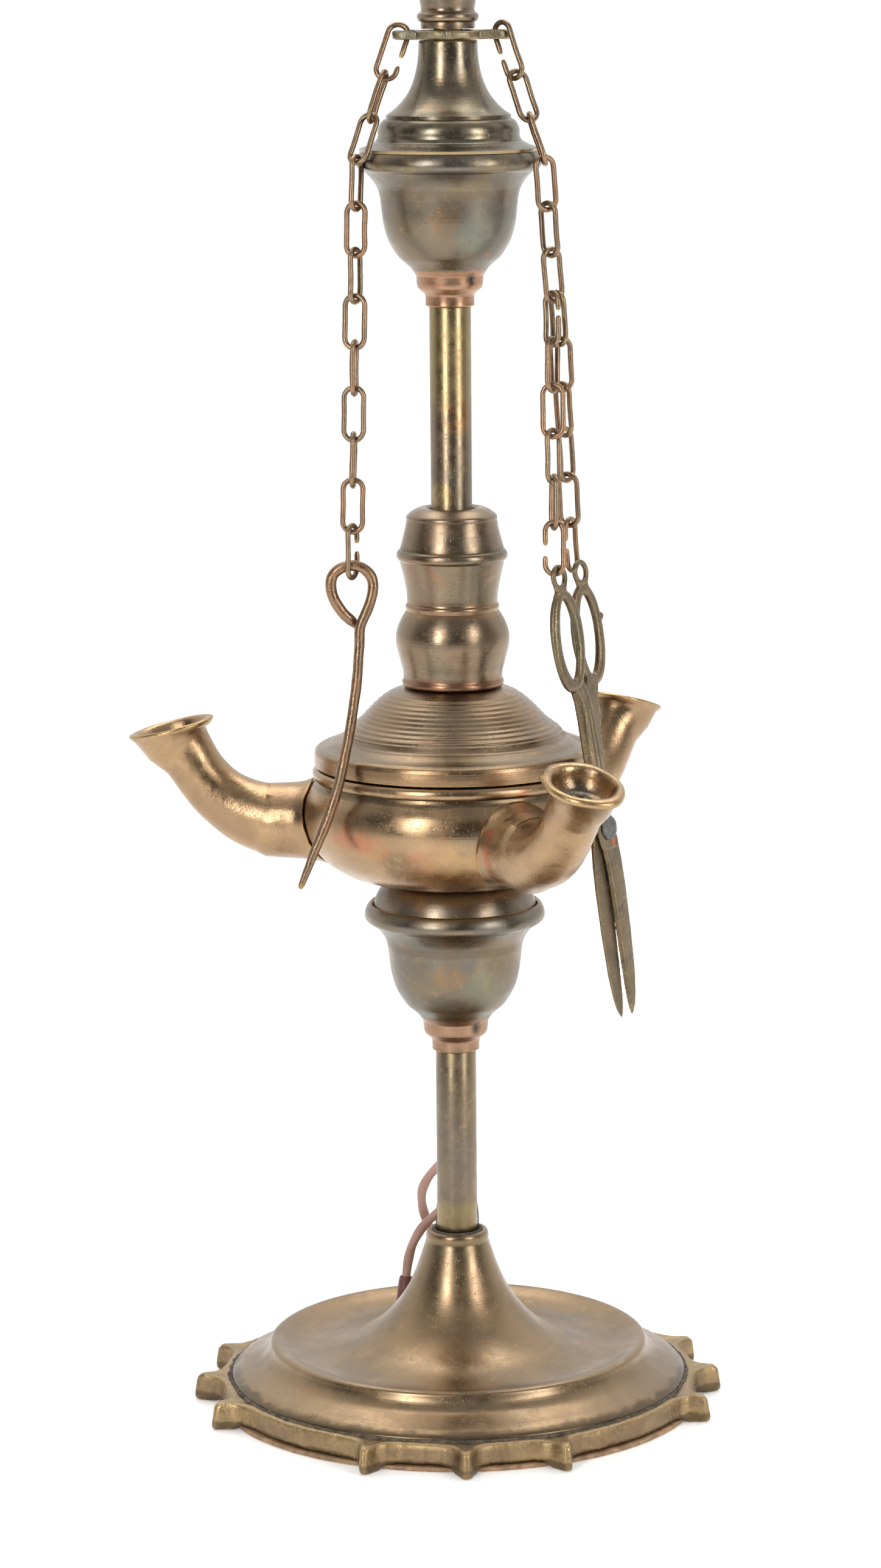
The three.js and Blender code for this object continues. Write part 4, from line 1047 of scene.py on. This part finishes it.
def strip(sections):
    """A bar lofted through (height, left, right, thickness, crown, groove), flat on its inner face."""
    rings = []
    for y, left, right, thick, crown, groove in sections:
        ring = []
        wide = right - left
        for k in range(17):
            u = k / 16
            edge = min(u, 1 - u) * wide
            z = INNER_FACE + thick * min(1.0, 0.35 + edge / 0.8 * 0.65) + crown * math.sin(math.pi * u)
            ridge = 0.7 * math.exp(-((u - 0.25) * wide / 0.5) ** 2)
            z -= groove * (math.exp(-((u - 0.52) * wide / 0.8) ** 2) - ridge)
            ring.append(Vector((left + wide * u, y, z)))
        ring += [Vector((right - 0.05, y, INNER_FACE)), Vector((left + 0.05, y, INNER_FACE))]
        rings.append(ring)
    return rings_to_mesh(rings)


def scissor_half(second):
    """One half seen from outside: pivot at the origin, ring on the left, blade on the right."""
    parts = []
    rows = []
    for k, a in enumerate(circle(120)):
        out = Vector((math.cos(a) / RING_ACROSS, math.sin(a) / RING_UP, 0)).normalized()
        wide = 2.0 + 0.2 * math.sin(2 * a + 1) + (0.55 if not second else 0.35) * math.exp(-((k - 82) / 11) ** 2)
        thick = 1.5 + 0.12 * math.sin(a * 3 + (2 if second else 0))
        centre = Vector((-EYE_SPREAD + RING_ACROSS * math.cos(a), RING_HEIGHT + RING_UP * math.sin(a), 1.65))
        rows.append([centre + out * wide * math.cos(b) + Vector((0, 0, 1)) * thick * math.sin(b) for b in circle(16)])
    parts.append(rings_to_mesh(rows, closed=True))
    eye = [Vector((-EYE_SPREAD + EYE_SHIFT + 3.5 * math.cos(a), EYE_HEIGHT + 3.5 * math.sin(a), 1.15))
        for a in circle(36)]
    parts.append(sweep(eye, 0.95, 12, closed=True))
    for side in (-1, 1):
        root = [Vector((-EYE_SPREAD + EYE_SHIFT + side * 2.6, EYE_HEIGHT - 2.6, 1.15)),
            Vector((-EYE_SPREAD + 0.2 + side * 2.0, EYE_HEIGHT - 4.4, 1.2)),
            Vector((-EYE_SPREAD + side * 3.4, EYE_HEIGHT - 6.6, 1.25))]
        parts.append(sweep(catmull(root, 4), 1.0, 10))
    parts.append(strip([(51, -10, -3.2, 2.3, 0.3, 0), (47.5, -9.4, -1.5, 2.6, 0.5, 0.2),
        (44, -8.2, -0.7, 2.7, 0.6, 0.5), (38, -7.6, 0.3, 2.7, 0.55, 0.8), (30, -7.2, 1.4, 2.6, 0.5, 0.9),
        (22, -6.7, 2.5, 2.5, 0.5, 0.9), (14, -6, 3.5, 2.3, 0.4, 0.7), (8, -5.3, 4.1, 2.0, 0.2, 0.3),
        (4, -4.9, 4.4, 1.8, 0.1, 0), (0, -4.8, 4.9, 1.85, 0, 0), (-4, -3.9, 6.4, 1.9, 0.1, 0),
        (-7, -3, 6.6, 1.9, 0.1, 0)]))
    parts.append(strip([(-6, -2.9, 7, 1.6, 0, 0), (-12, -1.7, 7.6, 1.65, 0.1, 0), (-20, -1, 7.9, 1.65, 0.15, 0),
        (-35, -0.4, 7.8, 1.6, 0.15, 0), (-50, 0.2, 7, 1.5, 0.1, 0), (-57, 0.6, 6.1, 1.3, 0.05, 0),
        (-61, 1.2, 5.2, 1.1, 0, 0), (-63.4, 2, 4, 0.8, 0, 0), (-64.5, 2.5, 3.2, 0.5, 0, 0)]))
    if second:
        for k in range(8):
            a = Vector((-2.8 + k * 0.3, 37 - k * 2.9, 2.95))
            parts.append(sweep([a + Vector((-1.1, 0, 0)), a, a + Vector((1.1, 0, 0))],
                lambda i: (0.35, 0.85, 0.35)[i], 10))
        ear = [Vector((-6.4, 42, 1.1)), Vector((-8, 40, 1.2)), Vector((-8.6, 37.4, 1.3)),
            Vector((-7.8, 35, 1.3)), Vector((-6.2, 32.5, 1.2))]
        parts.append(sweep(catmull(ear, 4), lambda i: 1.0, 10))
        parts.append(sweep([Vector((-17.2, 70, 1.3)), Vector((-18.1, 70.6, 1.3)), Vector((-18.6, 70.9, 1.3))],
            lambda i: (1.5, 1.2, 0.5)[i], 10))
    return joined(*parts)


def make_scissors(end_a):
    lean = rad(SCISSORS_LEAN)
    up = Vector((0, 0, math.cos(lean))) - OUTWARD * math.sin(lean)
    drop = EYE_HEIGHT + EYE_BORE - CROSSING + LINK_WIRE / 2 + 0.1
    pivot = end_a + EYES * EYE_SPREAD - up * drop
    place = Matrix.Translation(pivot) @ Matrix((EYES, up, EYES.cross(up))).transposed().to_4x4()
    turned_over = place @ Matrix.Rotation(math.pi, 4, "Y")
    in_ring = place @ Vector((-EYE_SPREAD, RING_HEIGHT + 2, 0))
    for half, matrix, second in (("scissors_half_a", place, False), ("scissors_half_b", turned_over, True)):
        verts, faces = placed(scissor_half(second), matrix)
        spots = [(pivot, 5.5, (0.12, 0.115, 0.1), 0.8), (in_ring, 13, (0.12, 0.18, 0.12), 0.3),
            (place @ Vector((2.5, -5.2, 1)), 2.4, (0.6, 0.14, 0.06), 0.9)]
        metal = brass(half + "_brass", base=(0.225, 0.165, 0.1), second=(0.165, 0.13, 0.08),
            patches=(0.3, 0.22, 0.12), patch_share=0.5, rough=(0.3, 0.46), turned=0, cast=0.9, scale=2,
            spots=spots, pits=1.0)
        obj = make(half + "_body", verts, faces, half, half, "dark", metal)
        fuse = obj.modifiers.new("fuse", "REMESH")
        fuse.mode, fuse.voxel_size, fuse.use_smooth_shade = "VOXEL", 0.00028, True
        soft = obj.modifiers.new("soft", "SMOOTH")
        soft.factor, soft.iterations = 0.5, 2
        apply(obj)
    face = PLATE + INNER_FACE
    screw = profile([(0.02, -face), [1.6, -face], [1.6, face + 0.3], [4.1, face + 0.3], (4.2, face + 0.6),
        (3.9, face + 1.2), (2.6, face + 1.75), (0.02, face + 2)])
    steel = plain("screw_steel", (0.2, 0.19, 0.185), (0.13, 0.125, 0.12), (0.34, 0.5), 400, 0.0003, 2400,
        metallic=1.0)
    make("screw", *placed(roughened(revolve(screw, 48), 0.12, 1.8), place), "scissors_half_a", "scissors_screw",
        "steel", steel)


# ------------------------------------------------------------------ floor, light and surroundings
def make_stage():
    mesh = bpy.data.meshes.new("floor")
    z = CAD_BOX[0][2]
    mesh.from_pydata([(-3, -1.2, z), (3, -1.2, z), (3, 4, z), (-3, 4, z)], [], [(0, 1, 2, 3)])
    floor = bpy.data.objects.new("floor", mesh)
    scene.collection.objects.link(floor)
    s = Shader("floor_white")
    s.set("Base Color", s.mix(s.fit(s.noise(3, 3), 0.3, 0.7), (0.93, 0.93, 0.93), (0.9, 0.9, 0.905)))
    s.set("Roughness", 0.42)
    s.set("Specular IOR Level", 0.25)
    s.set("Emission Color", (1, 1, 1, 1))
    s.set("Emission Strength", s.fit(s.xyz()[1], 0.1, 0.9, (0.2, 0.5)))
    mesh.materials.append(s.material)


def softbox(name, azimuth, height, distance, size, power, tint=(1, 0.985, 0.96)):
    """A rectangular light looking at the lamp; its azimuth is 0 on the camera's side and grows to the right."""
    data = bpy.data.lights.new(name, "AREA")
    data.shape, data.size, data.size_y = "RECTANGLE", size[0], size[1]
    data.energy, data.color = power, tint
    lamp = bpy.data.objects.new(name, data)
    scene.collection.objects.link(lamp)
    at = Vector((distance * math.sin(rad(azimuth)), -distance * math.cos(rad(azimuth)), height))
    lamp.location = at
    lamp.rotation_euler = (Vector((0, 0, 0.26)) - at).to_track_quat("-Z", "Y").to_euler()


def make_light():
    softbox("left_box", -30, 0.85, 1.7, (0.3, 1.1), 16)
    softbox("right_box", 48, 0.8, 1.7, (0.42, 1.1), 13)
    softbox("top_box", 180, 1.9, 0.5, (1.6, 1.2), 16)
    world = bpy.data.worlds.new("studio")
    scene.world = world
    world.use_nodes = True
    tree = world.node_tree
    tree.nodes.clear()
    new = tree.nodes.new
    link = tree.links.new
    axes = new("ShaderNodeSeparateXYZ")
    link(new("ShaderNodeTexCoord").outputs["Generated"], axes.inputs[0])
    total = new("ShaderNodeMath")
    for into, axis, values in ((0, "Y", (-0.35, 0.45, 0.09, 0.98)), (1, "Z", (0.35, 0.95, 0.0, 0.3))):
        ramp = new("ShaderNodeMapRange")
        ramp.interpolation_type = "SMOOTHSTEP"
        for socket, value in zip(ramp.inputs[1:5], values):
            socket.default_value = value
        link(axes.outputs[axis], ramp.inputs[0])
        link(ramp.outputs[0], total.inputs[into])
    chosen = new("ShaderNodeMixShader")
    link(new("ShaderNodeLightPath").outputs["Is Camera Ray"], chosen.inputs[0])
    for into in (1, 2):
        backdrop = new("ShaderNodeBackground")
        backdrop.inputs["Color"].default_value = (1, 1, 1, 1)
        if into == 1:
            link(total.outputs[0], backdrop.inputs["Strength"])
        link(backdrop.outputs[0], chosen.inputs[into])
    link(chosen.outputs[0], new("ShaderNodeOutputWorld").inputs[0])
    scene.view_settings.view_transform = "Standard"
    scene.view_settings.look = "None"


make_base()
make_foot()
make_cups()
make_font()
make_spouts()
make_top()
make_bar()
left_end, end_a = make_chains()
make_pick(left_end)
make_scissors(end_a)
make_stage()
make_light()
